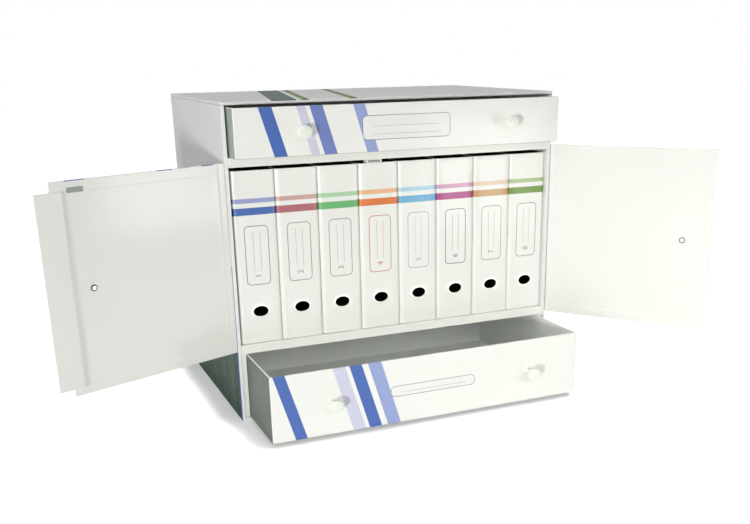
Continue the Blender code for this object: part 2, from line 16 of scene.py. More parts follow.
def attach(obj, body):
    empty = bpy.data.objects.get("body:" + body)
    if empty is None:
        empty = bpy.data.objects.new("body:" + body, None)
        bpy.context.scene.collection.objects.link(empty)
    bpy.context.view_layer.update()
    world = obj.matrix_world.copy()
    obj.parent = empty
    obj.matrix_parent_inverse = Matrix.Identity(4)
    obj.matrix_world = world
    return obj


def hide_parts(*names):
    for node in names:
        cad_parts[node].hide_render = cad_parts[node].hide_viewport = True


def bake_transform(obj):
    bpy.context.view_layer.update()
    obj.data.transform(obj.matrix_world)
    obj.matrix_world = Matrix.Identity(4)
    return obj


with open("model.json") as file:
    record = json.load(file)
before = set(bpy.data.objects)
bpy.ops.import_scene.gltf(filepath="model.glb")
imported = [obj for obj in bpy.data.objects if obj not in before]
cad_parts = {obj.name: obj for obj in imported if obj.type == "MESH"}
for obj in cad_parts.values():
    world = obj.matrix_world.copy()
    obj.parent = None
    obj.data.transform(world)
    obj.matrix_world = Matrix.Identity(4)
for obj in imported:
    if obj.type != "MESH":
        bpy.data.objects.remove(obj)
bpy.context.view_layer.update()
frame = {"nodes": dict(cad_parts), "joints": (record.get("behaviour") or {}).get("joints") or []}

bl_info = {
    "name": "Covered Board Cabinet",
    "version": (1, 0, 0),
    "blender": (4, 5, 0),
    "location": "3D View > Sidebar > Cabinet",
    "description": "Builds a covered board cabinet with two drawers, two doors and eight files",
    "category": "Add Mesh",
}

# The photograph's frame and the camera fitted to it, in pixels
PHOTO_WIDTH = 750
PHOTO_HEIGHT = 524
VIEW_CENTRE_X = 400
VIEW_CENTRE_Y = 380
FOCAL_PIXELS = 942.9
SENSOR_WIDTH = 36.0

# Grid of a rounded board
RIM_STEPS = 3
SUPPORT_SHARE = 1.7
ROUNDING_DIGITS = 7

# Hinge cloth, and the threads' turns in radians per metre
THREADS = 9000.0
CLOTH_THICKNESS = 0.0004
CLOTH_LIFT = 0.00055
FOLD_DEPTH = 0.0028
CLOTH_PATH_STEPS = 14
CLOTH_HEIGHT_STEPS = 24

# Pressed gutter of a door: its middle from the hinge, its half width, and how far down the face
# the relief fades out
GUTTER_FROM_HINGE = 0.012
GUTTER_HALF_WIDTH = 0.0022
RELIEF_DEPTH = 0.0005

# Edge of the left door's strip, as a share of its thickness
STRIP_EDGE_SHARE = 0.05

# Trays: how far in from the outside the lining starts, at the sides and at the foot, height of
# the white edging, and rounding of the edges, as of the strike plate's
TRAY_LINED_TO = 0.0016
TRAY_LINED_FROM = 0.0014
TRAY_EDGING = 0.0008
TRAY_EDGE = 0.0005
STRIKE_EDGE = 0.00045

# The files, and the board of their covers
FILE_NUMBERS = range(1, 9)
FILE_BOARD = 0.0026
COVER_HEIGHT_STEPS = 40

# Crease beside a spine's corner, and width of the scuffed rims at a cover's top and foot
CREASE_FROM_CORNER = 0.0012
CREASE_HALF_WIDTH = 0.0006
COVER_RIM = 0.0008

# Dark inside of a file, painted shade: half its width, and how far behind the spine's face it starts
SHADE_INSIDE_HALF_WIDTH = 0.0378
SHADE_INSIDE_FROM = 0.0020

# Board of the drawers' fronts and the doors, which the screws pass through
FRONT_BOARD = 0.004

# Finger hole of a file, as in the frame
HOLE_HALF_WIDTH = 0.015
HOLE_HALF_HEIGHT = 0.0105
HOLE_CENTRE = 0.060

# Cut holes, and the angle from which an edge is sharp
HOLE_STEPS = 64
HOLE_REACH = 0.01
SCREW_HOLE_RADIUS = 0.0024
SHARP_ANGLE = math.radians(40)

# Steps round a knob and a finger ring, and how much broader than high a knob is
KNOB_STEPS = 72
RING_STEPS = 72
KNOB_BREADTH = 1.3

# Label frames
DRAWER_LABEL_HALF_WIDTH = 0.087
TOP_LABEL_HALF_HEIGHT = 0.021
BOTTOM_LABEL_HALF_HEIGHT = 0.010
SPINE_LABEL_HALF_WIDTH = 0.022
SPINE_LABEL_HALF_HEIGHT = 0.054
SPINE_LABEL_CENTRE = 0.165
NUMBER_BELOW_CENTRE = 0.038
NUMBER_SIZE = 0.016
RULED_SHARE = 0.78

# Two ruled lines on a spine's label: middle over the label's, half length, middle to line, half width
SPINE_RULED_RISE = 0.008
SPINE_RULED_HALF_LENGTH = 0.036
SPINE_RULED_AWAY = 0.0065
SPINE_RULED_HALF_WIDTH = 0.00035

# Radius of a label's corners and width of its line
DRAWER_LABEL_LINE = (0.009, 0.0011)
SPINE_LABEL_LINE = (0.008, 0.0014)

# Level bands round a file: middle over its foot, and half width
STRONG_BAND = (0.2455, 0.0065)
PALE_BAND = (0.2645, 0.0040)

# Floor: half its side, its height, the direction that its open share leans to, and its grey
FLOOR_HALF = 12.0
FLOOR_Z = -0.0005
FLOOR_LEAN = (0.72, 0.12, 0.68)
FLOOR_GREY = (0.80, 0.80, 0.80, 1.0)

# Open shares between which the floor's painted shadow fades out
SHADE_RANGE = (0.5, 0.95)

# Colours of the room: to the camera, and as light
WHITE = (1.0, 1.0, 1.0, 1.0)
ROOM_TINT = (0.98, 1.0, 1.0, 1.0)

# Colours printed on the files, written as red, green and blue from 0 to 255:
# strong band, pale band, label outline
FILE_COLOURS = (
    ((66, 104, 176), (158, 163, 208), (128, 122, 160)),
    ((178, 104, 112), (208, 168, 156), (150, 128, 128)),
    ((104, 186, 110), (172, 214, 172), (128, 152, 132)),
    ((228, 122, 48), (240, 184, 138), (206, 112, 84)),
    ((108, 178, 216), (176, 216, 232), (176, 180, 206)),
    ((176, 62, 128), (216, 160, 190), (104, 96, 112)),
    ((204, 158, 106), (228, 206, 172), (158, 146, 140)),
    ((112, 150, 54), (176, 196, 140), (134, 150, 134)),
)


def linear(red, green, blue):
    """Returns the linear colour of an sRGB colour given from 0 to 255."""
    shares = np.array((red, green, blue)) / 255
    return tuple(np.where(shares <= 0.04045, shares / 12.92, ((shares + 0.055) / 1.055) ** 2.4).tolist())


def colour_property(name, description, red, green, blue):
    """Returns a colour property whose default is written as an sRGB colour."""
    return bpy.props.FloatVectorProperty(
        name=name, description=description, subtype="COLOR", size=3, min=0.0, max=1.0,
        default=linear(red, green, blue))


def number_property(name, description, default, lowest=0.0, **kind):
    """Returns a number property, from 0 up unless another lowest value is given."""
    return bpy.props.FloatProperty(name=name, description=description, default=default, min=lowest, **kind)


def length_property(name, description, default):
    """Returns a length property."""
    return number_property(name, description, default, unit="LENGTH")


def power_property(name, description, default):
    """Returns a property for a lamp's power."""
    return number_property(name, description, default, unit="POWER")


def share_property(name, description, default):
    """Returns a property for a share from 0 to 1."""
    return number_property(name, description, default, max=1.0, subtype="FACTOR")


def angle_property(name, description, degrees):
    """Returns an angle property whose default is written in degrees."""
    return number_property(name, description, math.radians(degrees), lowest=-math.pi, subtype="ANGLE")


class CabinetPapers(bpy.types.PropertyGroup):
    """Colours and gloss of the papers and boards."""

    paper: colour_property("Paper", "Glossy white paper on the fronts, doors and files", 239, 240, 233)
    case_paper: colour_property("Case paper", "White paper on the outside of the case", 236, 236, 235)
    strong_blue: colour_property("Strong blue", "Darkest stripe on the drawers and doors", 62, 100, 178)
    middle_blue: colour_property("Middle blue", "Second stripe on the drawers and doors", 112, 128, 192)
    light_blue: colour_property("Light blue", "Light stripe on the drawers and doors", 150, 164, 212)
    lilac: colour_property("Lilac", "Palest stripe on the drawers and doors", 208, 208, 226)
    dark_green: colour_property("Dark green", "Foot panels of the side walls", 52, 88, 68)
    leaf_green: colour_property("Leaf green", "Thin stripe on the top", 120, 160, 60)
    outline: colour_property("Outline", "Outline of the drawers' labels", 120, 122, 150)
    grey_board: colour_property("Grey board", "Outside of the drawers' trays", 108, 117, 106)
    tray_lining: colour_property("Tray lining", "Inside of the drawers' trays", 246, 248, 246)
    # Guides: a pale board colour raised to near white, part of which is painted light
    guide: colour_property("Guide", "Board guides beside the bottom drawer", 248, 250, 244)
    # Dark inside of the files, painted shade for the gap over them
    lining: colour_property("File lining", "Paper inside the files", 60, 62, 66)
    core: colour_property("Board core", "Board that shows through worn paper", 168, 164, 152)
    gloss: share_property("Paper roughness", "Roughness of the laminated paper", 0.18)


class CabinetShapes(bpy.types.PropertyGroup):
    """Small sizes of the covered boards and files."""

    board_edge: length_property("Board edge", "Rounding of a covered board's edges", 0.0009)
    grid_step: length_property("Grid step", "Spacing of the grid lines on a board", 0.030)
    turn_in: length_property("Turn-in", "Width of the cover turned in round a door's inner face", 0.018)
    turn_in_rise: length_property("Turn-in rise", "Step where the lining ends", 0.00030)
    strip_slope: length_property("Strip slope", "Width over which the left door's strip thins out", 0.013)
    gutter_depth: length_property("Gutter depth", "Depth of the pressed gutter by a door's hinge", 0.00035)
    file_corner_width: length_property("File corner width", "Width of a spine's rounded corner", 0.0085)
    file_corner_depth: length_property("File corner depth", "Depth of a spine's rounded corner", 0.0040)
    file_crease: length_property("File crease", "Depth of the crease beside a spine's corner", 0.00035)
    ring_flange: length_property("Ring flange", "Width of a finger ring's flange", 0.0026)
    ring_rise: length_property("Ring rise", "Height of a finger ring's flange over the spine", 0.0005)


class CabinetStage(bpy.types.PropertyGroup):
    """Camera, lamps and floor."""

    camera_place: bpy.props.FloatVectorProperty(
        name="Camera place", description="Where the camera stands", subtype="TRANSLATION", unit="LENGTH",
        size=3, default=(-0.7217, -1.8772, 0.6644))
    heading: angle_property("Heading", "Turn of the view from straight ahead to the right", 23.41)
    tilt: angle_property("Tilt", "Tilt of the view down from level", 19.24)
    roll: angle_property("Roll", "Turn of the picture about the view", 0.82)
    room_light: number_property("Room light", "Strength of the even light from all round", 0.10)
    key_lamp: power_property("Key lamp", "Power of the small low lamp at the left front", 62.0)
    near_lamp: power_property("Near lamp", "Power of the low lamp close to the right front", 1.2)
    side_lamp: power_property("Side lamp", "Power of the large lamp at the left", 13.5)
    front_lamp: power_property("Front lamp", "Power of the lamp in front, which shines at the foot", 1.4)
    top_lamp: power_property("Top lamp", "Power of the large lamp overhead", 22.0)
    back_lamp: power_property("Back lamp", "Power of the wide low lamp behind, on the right", 30.0)
    floor_lift: number_property("Floor lift", "Light added to the floor as the camera sees it", 1.05)
    # The floor's shade at the foot is a painted shadow
    floor_shade: share_property("Floor shade", "Share of the added light left at the cabinet's foot", 0.28)
    shade_reach: length_property("Shade reach", "How far the foot's shade reaches over the floor", 0.06)


class Nodes:
    """Adds nodes to a tree; its methods return output sockets."""

    def __init__(self, tree):
        self.tree = tree

    def feed(self, socket, value):
        """Links an output to a socket, or sets the socket's own value if one is given."""
        if isinstance(value, bpy.types.NodeSocket):
            self.tree.links.new(value, socket)
        elif value is not None:
            socket.default_value = value

    def add(self, kind, values=(), output=0, **settings):
        """Adds a node, feeds its sockets in their order and returns one of its outputs, if it has any."""
        made = self.tree.nodes.new(kind)
        for key, value in settings.items():
            setattr(made, key, value)
        for socket, value in zip(made.inputs, values):
            self.feed(socket, value)
        return made.outputs[output] if len(made.outputs) else None

    def calc(self, operation, first, second=0.0):
        """Works out a sum, product or the like."""
        return self.add("ShaderNodeMath", (first, second), operation=operation)

    def both(self, first, second):
        """Returns where both masks hold, or a share of a mask."""
        return self.calc("MULTIPLY", first, second)

    def ramp(self, value, start, end, low=0.0, high=1.0):
        """Goes smoothly from low to high while value goes from start to end."""
        values = (value, start, end, low, high)
        return self.add("ShaderNodeMapRange", values, interpolation_type="SMOOTHSTEP", clamp=True)

    def above(self, value, limit, soft=0.0002):
        """Returns 1 where a value is past a limit and 0 before it."""
        return self.ramp(value, limit, limit + soft)

    def below(self, value, limit, soft=0.0002):
        """Returns 1 where a value is short of a limit and 0 past it."""
        return self.ramp(value, limit, limit + soft, 1.0, 0.0)

    def seen(self):
        """Returns 1 for rays from the camera or by way of gloss or glass."""
        rays = self.add("ShaderNodeLightPath").node.outputs
        by_gloss = self.calc("MAXIMUM", rays["Is Camera Ray"], rays["Is Glossy Ray"])
        return self.calc("MAXIMUM", by_gloss, rays["Is Transmission Ray"])


class Paint(Nodes):
    """Builds the node tree of one material."""

    def __init__(self, name):
        self.material = bpy.data.materials.new(name)
        self.material.use_nodes = True
        super().__init__(self.material.node_tree)
        self.shader = self.tree.nodes["Principled BSDF"]

    def field(self, name, part="Vector"):
        """Reads a field that is stored on the mesh."""
        return self.add("ShaderNodeAttribute", output=part, attribute_name=name)

    def object_place(self):
        """Reads the place on the object."""
        return self.add("ShaderNodeTexCoord", output="Object")

    def vector(self, operation, first, second=(0.0, 0.0, 0.0), output="Vector"):
        """Works out a sum, product or the like of vectors."""
        return self.add("ShaderNodeVectorMath", (first, second), output, operation=operation)

    def parts(self, vector):
        """Splits a vector into its three parts."""
        return self.add("ShaderNodeSeparateXYZ", (vector,)).node.outputs[:]

    def noise(self, vector, scale, detail=2.0, roughness=0.5):
        """Returns soft noise from 0 to 1 with so many waves per metre."""
        return self.add("ShaderNodeTexNoise", (vector, None, scale, detail, roughness), "Fac")

    def mix(self, share, first, second):
        """Mixes two colours."""
        tints = [tint if isinstance(tint, bpy.types.NodeSocket) else (*tint, 1.0) for tint in (first, second)]
        return self.add("ShaderNodeMix", (share, *[None] * 5, *tints), 2, data_type="RGBA")

    def cloudy(self, place, scale, detail, dark, pale):
        """Returns a colour that drifts from dark to pale with soft noise."""
        return self.mix(self.noise(place, scale, detail), dark, pale)

    def speckle(self, place, scale, detail, start, end, low, high, roughness=0.5):
        """Goes smoothly from low to high while soft noise goes from start to end."""
        return self.ramp(self.noise(place, scale, detail, roughness), start, end, low, high)

    def bump(self, height, distance, under=None):
        """Turns a height into a normal, on top of another normal if one is given."""
        normal = self.add("ShaderNodeBump")
        for name, value in (("Distance", distance), ("Height", height), ("Normal", under)):
            self.feed(normal.node.inputs[name], value)
        return normal

    def relief(self, place, scale, detail, distance, under=None):
        """Turns soft noise into a normal, on top of another normal if one is given."""
        return self.bump(self.noise(place, scale, detail), distance, under)

    def band(self, across, centre, half_width, soft=0.00025):
        """Returns 1 inside a straight band and 0 outside it."""
        away = self.calc("ABSOLUTE", self.calc("SUBTRACT", across, centre))
        return self.ramp(away, half_width - soft, half_width + soft, 1.0, 0.0)

    def label(self, place, centre, half_width, half_height, corner, line):
        """Returns the outline and the inside of an upright rounded frame about a centre.

        The distance to a rounded rectangle is the length of the part of the place past its
        straight core, less the corner's radius.
        """
        core = (half_width - corner, 0.0, half_height - corner)
        flat = self.vector("MULTIPLY", self.vector("SUBTRACT", place, centre), (1.0, 0.0, 1.0))
        past = self.vector("SUBTRACT", self.vector("ABSOLUTE", flat), core)
        past = self.vector("MAXIMUM", past, (0.0, 0.0, 0.0))
        distance = self.calc("SUBTRACT", self.vector("LENGTH", past, output="Value"), corner)
        outline = self.band(distance, 0.0, line / 2, line / 4)
        return outline, self.ramp(distance, -line / 2, line / 2, 1.0, 0.0)

    def finish(self, colour, roughness, normal=None, **fixed):
        """Links colour, roughness and normal to the shader and sets its fixed sockets."""
        self.feed(self.shader.inputs["Base Color"], colour)
        self.feed(self.shader.inputs["Roughness"], roughness)
        if normal is not None:
            self.feed(self.shader.inputs["Normal"], normal)
        for name, value in fixed.items():
            self.shader.inputs[name.replace("_", " ")].default_value = value
        return self.material


def paper_material(name, papers, printed=None, gloss=None, specular=0.5, base="paper"):
    """Laminated paper over board: mottled white, prints, scuffed edges and a faint wave in its gloss.

    printed is a function that takes the paint and the place and returns masks with their colours.
    """
    paint = Paint(name)
    place = paint.field("place")
    white = np.array(getattr(papers, base))
    colour = paint.cloudy(place, 4.0, 3.0, white * 0.975, np.minimum(white * 1.015, 1.0))
    for mask, tint in printed(paint, place) if printed else ():
        colour = paint.mix(mask, colour, paint.cloudy(place, 40.0, 3.0, np.array(tint) * 0.93, tint))
    handled = paint.speckle(place, 5.0, 2.0, 0.50, 0.80, 0.0, 0.03, 0.4)
    colour = paint.mix(handled, colour, papers.core)
    rubbed = paint.speckle(place, 180.0, 4.0, 0.52, 0.70, 0.0, 0.25, 0.7)
    scuff = paint.both(paint.field("rim", "Fac"), rubbed)
    colour = paint.mix(scuff, colour, papers.core)
    smooth = papers.gloss if gloss is None else gloss
    roughness = paint.speckle(place, 60.0, 4.0, 0.3, 0.8, smooth * 0.9, smooth * 1.15)
    roughness = paint.calc("ADD", roughness, paint.both(scuff, 0.4))
    waves = paint.relief(place, 8.0, 2.0, 0.0012)
    peel = paint.relief(place, 420.0, 3.0, 0.00003, waves)
    return paint.finish(colour, roughness, peel, Specular_IOR_Level=specular)


def board_material(name, papers, tone, half_width, foot, top, rear):
    """Board of a tray: speckled grey outside with rubbed streaks, pale inside, white along its top edge.

    The inside is the room between the middles of the tray's boards, from foot to top, and the gain
    makes the outside lighter or darker: painted light above 1 and painted shade below 1.
    """
    paint = Paint(name)
    place = paint.field("place")
    # The gain paints light or shade into the grey of the tray's outside
    grey = np.array(papers.grey_board) * tone
    cloud = paint.noise(place, 9.0, 4.0, 0.6)
    colour = paint.mix(cloud, grey * 0.86, grey * 1.12)
    fleck = paint.speckle(place, 900.0, 3.0, 0.62, 0.72, 0.0, 0.5, 0.7)
    colour = paint.mix(fleck, colour, np.minimum(grey * 1.7, 1.0))
    drawn = paint.vector("MULTIPLY", place, (1.0, 0.25, 1.0))
    streak = paint.speckle(drawn, 150.0, 5.0, 0.60, 0.72, 0.0, 0.6, 0.75)
    colour = paint.mix(streak, colour, np.minimum(grey * 1.5, 1.0))
    colour = paint.mix(paint.speckle(place, 700.0, 2.0, 0.66, 0.74, 0.0, 0.5), colour, grey * 0.5)
    across, along, up = paint.parts(place)
    between = paint.below(paint.calc("ABSOLUTE", across), half_width - TRAY_LINED_TO)
    ahead = paint.below(along, rear - TRAY_LINED_TO)
    above = paint.above(up, foot + TRAY_LINED_FROM)
    pale = np.array(papers.tray_lining)
    lined = paint.mix(paint.noise(place, 12.0, 4.0, 0.6), pale * 0.94, pale)
    colour = paint.mix(paint.both(between, paint.both(ahead, above)), colour, lined)
    colour = paint.mix(paint.above(up, top - TRAY_EDGING), colour, papers.paper)
    roughness = paint.ramp(cloud, 0.2, 0.8, 0.42, 0.58)
    return paint.finish(colour, roughness, paint.relief(place, 1100.0, 3.0, 0.00006))


def cloudy_material(name, dark, pale, clouds, gloss, grain, **fixed):
    """One plain stuff: clouds from a dark to a pale tint, a mottled gloss and a fine grain.

    clouds is the noise's waves per metre and detail, gloss its waves and the lowest and highest
    roughness, and grain its waves, detail and depth.
    """
    paint = Paint(name)
    place = paint.object_place()
    waves, low, high = gloss
    colour = paint.cloudy(place, *clouds, dark, pale)
    roughness = paint.speckle(place, waves, 3.0, 0.3, 0.7, low, high)
    return paint.finish(colour, roughness, paint.relief(place, *grain), **fixed)


def grid_quads(rows, columns, wrap_rows=False, wrap_columns=False):
    """Returns the quads of a grid of points, with its ends joined where they wrap."""
    row = np.arange(rows if wrap_rows else rows - 1)
    column = np.arange(columns if wrap_columns else columns - 1)
    row, column = (part.ravel() for part in np.meshgrid(row, column, indexing="ij"))
    next_row = (row + 1) % rows
    next_column = (column + 1) % columns
    corners = (row * columns + column, next_row * columns + column,
               next_row * columns + next_column, row * columns + next_column)
    return np.stack(corners, axis=1)


def weld(points, quads):
    """Joins points that lie at the same place."""
    kept, index = np.unique(np.round(points, ROUNDING_DIGITS), axis=0, return_inverse=True)
    return kept, index.reshape(-1)[quads]


def axis_lines(low, high, radius, step, extra):
    """Returns the places of a board's grid lines along one side.

    In the rounded rims they stand at radius times (1 - tan a) for even angles a up to 45
    degrees, so that the arcs come out even. Between the rims they are evenly spread.
    """
    angles = np.linspace(math.pi / 4, 0.0, RIM_STEPS + 1)
    rim = radius * (1 - np.tan(angles))
    support = radius * SUPPORT_SHARE
    count = max(1, int(round((high - low) / step)))
    middle = np.linspace(low + support, high - support, count + 1)
    lines = np.concatenate([low + rim, middle, high - rim, np.array(extra, float)])
    return np.unique(np.round(lines, ROUNDING_DIGITS))


def rounded_board(low, high, radius, step, extra=((), (), ())):
    """Returns the closed surface of a board with rounded edges: points, quads and rim shares.

    Six grids cover a box. Each point is pushed out by the radius from its nearest point in the
    box's core, which is the box less the radius all round. The rim share is 0 on the flat faces
    and 1 half way round an edge.
    """
    low = np.array(low, float)
    high = np.array(high, float)
    radius = min(radius, 0.49 * float((high - low).min()))
    lines = [axis_lines(low[axis], high[axis], radius, step, extra[axis]) for axis in range(3)]
    grids = []
    quads = []
    start = 0
    for axis in range(3):
        first, second = (axis + 1) % 3, (axis + 2) % 3
        u, v = np.meshgrid(lines[first], lines[second], indexing="ij")
        for end in (0, -1):
            grid = np.empty(u.shape + (3,))
            grid[..., axis] = lines[axis][end]
            grid[..., first] = u
            grid[..., second] = v
            faces = grid_quads(*u.shape) + start
            quads.append(faces if end else faces[:, ::-1])
            grids.append(grid.reshape(-1, 3))
            start += u.size
    points, faces = weld(np.concatenate(grids), np.concatenate(quads))
    core = np.clip(points, low + radius, high - radius)
    away = points - core
    away /= np.linalg.norm(away, axis=1)[:, None]
    rim = np.clip((1 - np.abs(away).max(axis=1)) / (1 - math.sqrt(0.5)), 0, 1)
    return core + radius * away, faces, rim


def folded_sheet(path, thickness, z_lines):
    """Returns the closed surface of a sheet that follows a path in plan and stands upright.

    Its two faces are the path moved half the thickness along its normal to either side. Over
    the last half thickness before a border that distance shrinks as a half circle does, so the
    border is round and the two faces meet there.
    """
    half = thickness / 2
    steps = np.linalg.norm(np.diff(path, axis=0), axis=1)
    length = np.concatenate([[0.0], np.cumsum(steps)])
    tangent = np.gradient(path, length, axis=0)
    tangent /= np.linalg.norm(tangent, axis=1)[:, None]
    normal = np.stack([tangent[:, 1], -tangent[:, 0]], axis=1)
    end_distance = np.minimum(length, length[-1] - length)
    edge_distance = np.minimum(z_lines - z_lines[0], z_lines[-1] - z_lines)
    shares = [np.sqrt(1 - (1 - np.clip(part / half, 0, 1)) ** 2) for part in (end_distance, edge_distance)]
    offset = half * shares[0][:, None] * shares[1][None, :]
    faces = grid_quads(len(path), len(z_lines))
    grids = []
    for side in (1, -1):
        plan = path[:, None, :] + side * offset[..., None] * normal[:, None, :]
        height = np.broadcast_to(z_lines[None, :, None], plan.shape[:2] + (1,))
        grids.append(np.concatenate([plan, height], axis=2).reshape(-1, 3))
    quads = np.concatenate([faces, faces[:, ::-1] + len(grids[0])])
    return weld(np.concatenate(grids), quads)


def border_lines(low, high, half, count):
    """Returns places from low to high, close together as a half circle needs at both ends."""
    curl = half * (1 - np.cos(np.linspace(0, math.pi / 2, 4)))
    middle = np.linspace(low + half, high - half, count)
    return np.unique(np.concatenate([low + curl, middle, high - curl]))


def turned_surface(radii, heights, steps, breadth_share=1.0):
    """Returns the closed surface of a profile turned about Z, as points, quads and triangles.

    The profile starts and ends on the axis, and breadth_share stretches the turns along X.
    """
    angle = np.linspace(0, 2 * math.pi, steps, endpoint=False)
    ring_radii = radii[1:-1, None]
    x = ring_radii * np.cos(angle) * breadth_share
    y = ring_radii * np.sin(angle)
    z = np.broadcast_to(heights[1:-1, None], x.shape)
    rings = np.stack([x, y, z], axis=2).reshape(-1, 3)
    poles = np.array([[0.0, 0.0, heights[0]], [0.0, 0.0, heights[-1]]])
    return np.concatenate([rings, poles]), ring_faces(len(radii) - 2, steps)


def ring_faces(rings, steps):
    """Returns the faces between closed rings of points, with a fan to a pole at each end.

    The two poles come after the rings' points.
    """
    quads = grid_quads(rings, steps, wrap_columns=True)
    column = np.arange(steps)
    after = (column + 1) % steps
    last = (rings - 1) * steps
    top = np.stack([column, after, np.full(steps, rings * steps)], axis=1)
    bottom = np.stack([last + after, last + column, np.full(steps, rings * steps + 1)], axis=1)
    return quads.tolist() + top.tolist() + bottom.tolist()


def signed_volume(points, faces):
    """Returns the volume inside closed faces, which is negative where they point inwards."""
    total = 0.0
    for corners in {len(face) for face in faces}:
        some = np.array([face for face in faces if len(face) == corners])
        for step in range(1, corners - 1):
            a, b, c = (points[some[:, index]] for index in (0, step, step + 1))
            total += np.einsum("ij,ij->i", a, np.cross(b, c)).sum() / 6
    return total


def sheet_hinge(joint_name):
    """Returns a door's hinge: the place of its axis and the angle from closed to open."""
    joint = next(item for item in frame["joints"] if item["name"] == joint_name)
    angle = -math.radians(joint["range_deg"][0]) * joint["axis"][2]
    return np.array(joint["pos_m"]), angle


def turned(points, hinge, share=1.0):
    """Turns points of the closed door about its hinge to the open door, or back with share -1."""
    if hinge is None:
        return points
    origin, angle = hinge
    cosine, sine = math.cos(angle * share), math.sin(angle * share)
    rotation = np.array([[cosine, -sine, 0.0], [sine, cosine, 0.0], [0.0, 0.0, 1.0]])
    return (points - origin) @ rotation.T + origin


def mesh_points(mesh):
    """Returns the points of a mesh."""
    flat = np.empty(len(mesh.vertices) * 3, np.float32)
    mesh.vertices.foreach_get("co", flat)
    return flat.reshape(-1, 3).astype(float)


def node_box(node, hinge=None):
    """Returns a node's lowest and highest corners, on the closed door if it has a hinge."""
    points = turned(mesh_points(frame["nodes"][node].data), hinge, -1.0)
    return points.min(axis=0), points.max(axis=0)


def linked(name, data):
    """Returns a new object in the scene."""
    made = bpy.data.objects.new(name, data)
    bpy.context.scene.collection.objects.link(made)
    return made


def closed_object(name, points, faces, hinge):
    """Returns an object with a closed surface whose faces point out, turned open if it has a hinge."""
    if signed_volume(points, faces) < 0:
        faces = [face[::-1] for face in faces]
    mesh = bpy.data.meshes.new(name)
    mesh.from_pydata(turned(points, hinge).tolist(), [], faces)
    return linked(name, mesh)


def evaluated_mesh(thing):
    """Returns the mesh of an object as its modifiers or its font make it."""
    bpy.context.view_layer.update()
    graph = bpy.context.evaluated_depsgraph_get()
    return bpy.data.meshes.new_from_object(thing.evaluated_get(graph), depsgraph=graph)


def dress(node, material):
    """Gives a node of the frame its material."""
    materials = frame["nodes"][node].data.materials
    materials.clear()
    materials.append(material)


def add_piece(name, points, faces, body, material, nodes=(), hinge=None, fields=None):
    """Makes a closed piece from its surface, puts it on its body and lets it stand for its nodes.

    Its field "place" keeps each point's place before the door is turned.
    """
    faces = faces.tolist() if isinstance(faces, np.ndarray) else faces
    piece = closed_object(name, points, faces, hinge)
    mesh = piece.data
    mesh.validate()
    for field, values in {"place": points, **(fields or {})}.items():
        flat = np.asarray(values, np.float32)
        kind, key = ("FLOAT_VECTOR", "vector") if flat.ndim == 2 else ("FLOAT", "value")
        mesh.attributes.new(field, kind, "POINT").data.foreach_set(key, flat.ravel())
    mesh.shade_smooth()
    mesh.set_sharp_from_angle(angle=SHARP_ANGLE)
    mesh.materials.append(material)
    if body is not None:
        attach(piece, body)
    if nodes:
        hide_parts(*nodes)
    return piece


def add_board(name, node, body, material, shapes, hinge=None, relief=None, extra=((), (), ()),
              radius=None):
    """Makes a rounded board in the place of a node, shaped by a relief function if one is given."""
    low, high = node_box(node, hinge)
    edge = shapes.board_edge if radius is None else radius
    points, faces, rim = rounded_board(low, high, edge, shapes.grid_step, extra)
    if relief is not None:
        points = relief(points)
    return add_piece(name, points, faces, body, material, (node,), hinge, {"rim": rim})


def cut_hole(piece, centre, half_width, half_height, hinge=None):
    """Cuts an oval hole along Y through a piece, with its place given on the closed door."""
    angle = np.linspace(0, 2 * math.pi, HOLE_STEPS, endpoint=False)
    ring = np.stack([np.cos(angle) * half_width, np.zeros(HOLE_STEPS), np.sin(angle) * half_height], axis=1)
    poles = np.array([centre + (0, end * HOLE_REACH, 0) for end in (-1, 1)])
    points = np.concatenate([poles[0] + ring, poles[1] + ring, poles])
    cutter = closed_object("cutter", points, ring_faces(2, HOLE_STEPS), hinge)
    cut = piece.modifiers.new("hole", "BOOLEAN")
    cut.operation = "DIFFERENCE"
    cut.solver = "EXACT"
    cut.object = cutter
    made = evaluated_mesh(piece)
    place = turned(mesh_points(made), hinge, -1.0)
    made.attributes["place"].data.foreach_set("vector", place.astype(np.float32).ravel())
    made.set_sharp_from_angle(angle=SHARP_ANGLE)
    piece.modifiers.clear()
    piece.data = made
    bpy.data.objects.remove(cutter, do_unlink=True)


def cut_screw_hole(piece, node, screw, hinge=None):
    """Cuts the hole of a knob's screw through the board that stands for a node."""
    centre = np.mean(node_box(screw, hinge), axis=0)
    centre[1] = np.mean(node_box(node, hinge), axis=0)[1]
    cut_hole(piece, centre, SCREW_HOLE_RADIUS, SCREW_HOLE_RADIUS, hinge)


# Stripes on the drawers and doors: middle and width of each, measured along the foot, and colour
TOP_DRAWER_STRIPES = (
    (-0.240, 0.024, "strong_blue"),
    (-0.176, 0.016, "lilac"),
    (-0.148, 0.024, "middle_blue"),
    (-0.068, 0.022, "light_blue"),
)
BOTTOM_DRAWER_STRIPES = (
    (-0.262, 0.022, "strong_blue"),
    (-0.150, 0.024, "lilac"),
    (-0.118, 0.024, "strong_blue"),
    (-0.081, 0.026, "light_blue"),
)
DOOR_STRIPES = (
    (-0.252, 0.024, "strong_blue"),
    (-0.206, 0.020, "lilac"),
    (-0.167, 0.030, "strong_blue"),
    (-0.006, 0.034, "strong_blue"),
    (0.150, 0.030, "light_blue"),
    (0.196, 0.016, "leaf_green"),
)
TOP_STRIPES = (
    (-0.170, 0.046, "dark_green"),
    (-0.130, 0.014, "leaf_green"),
    (-0.040, 0.016, "leaf_green"),
)

# Directions across the stripes, and how far right of their given middles the doors' stripes stand
UPRIGHT_ACROSS = (1.0, 0.0, 0.30)
TOP_ACROSS = (1.0, -0.22, 0.0)
DOOR_STRIPE_SHIFT = 0.10

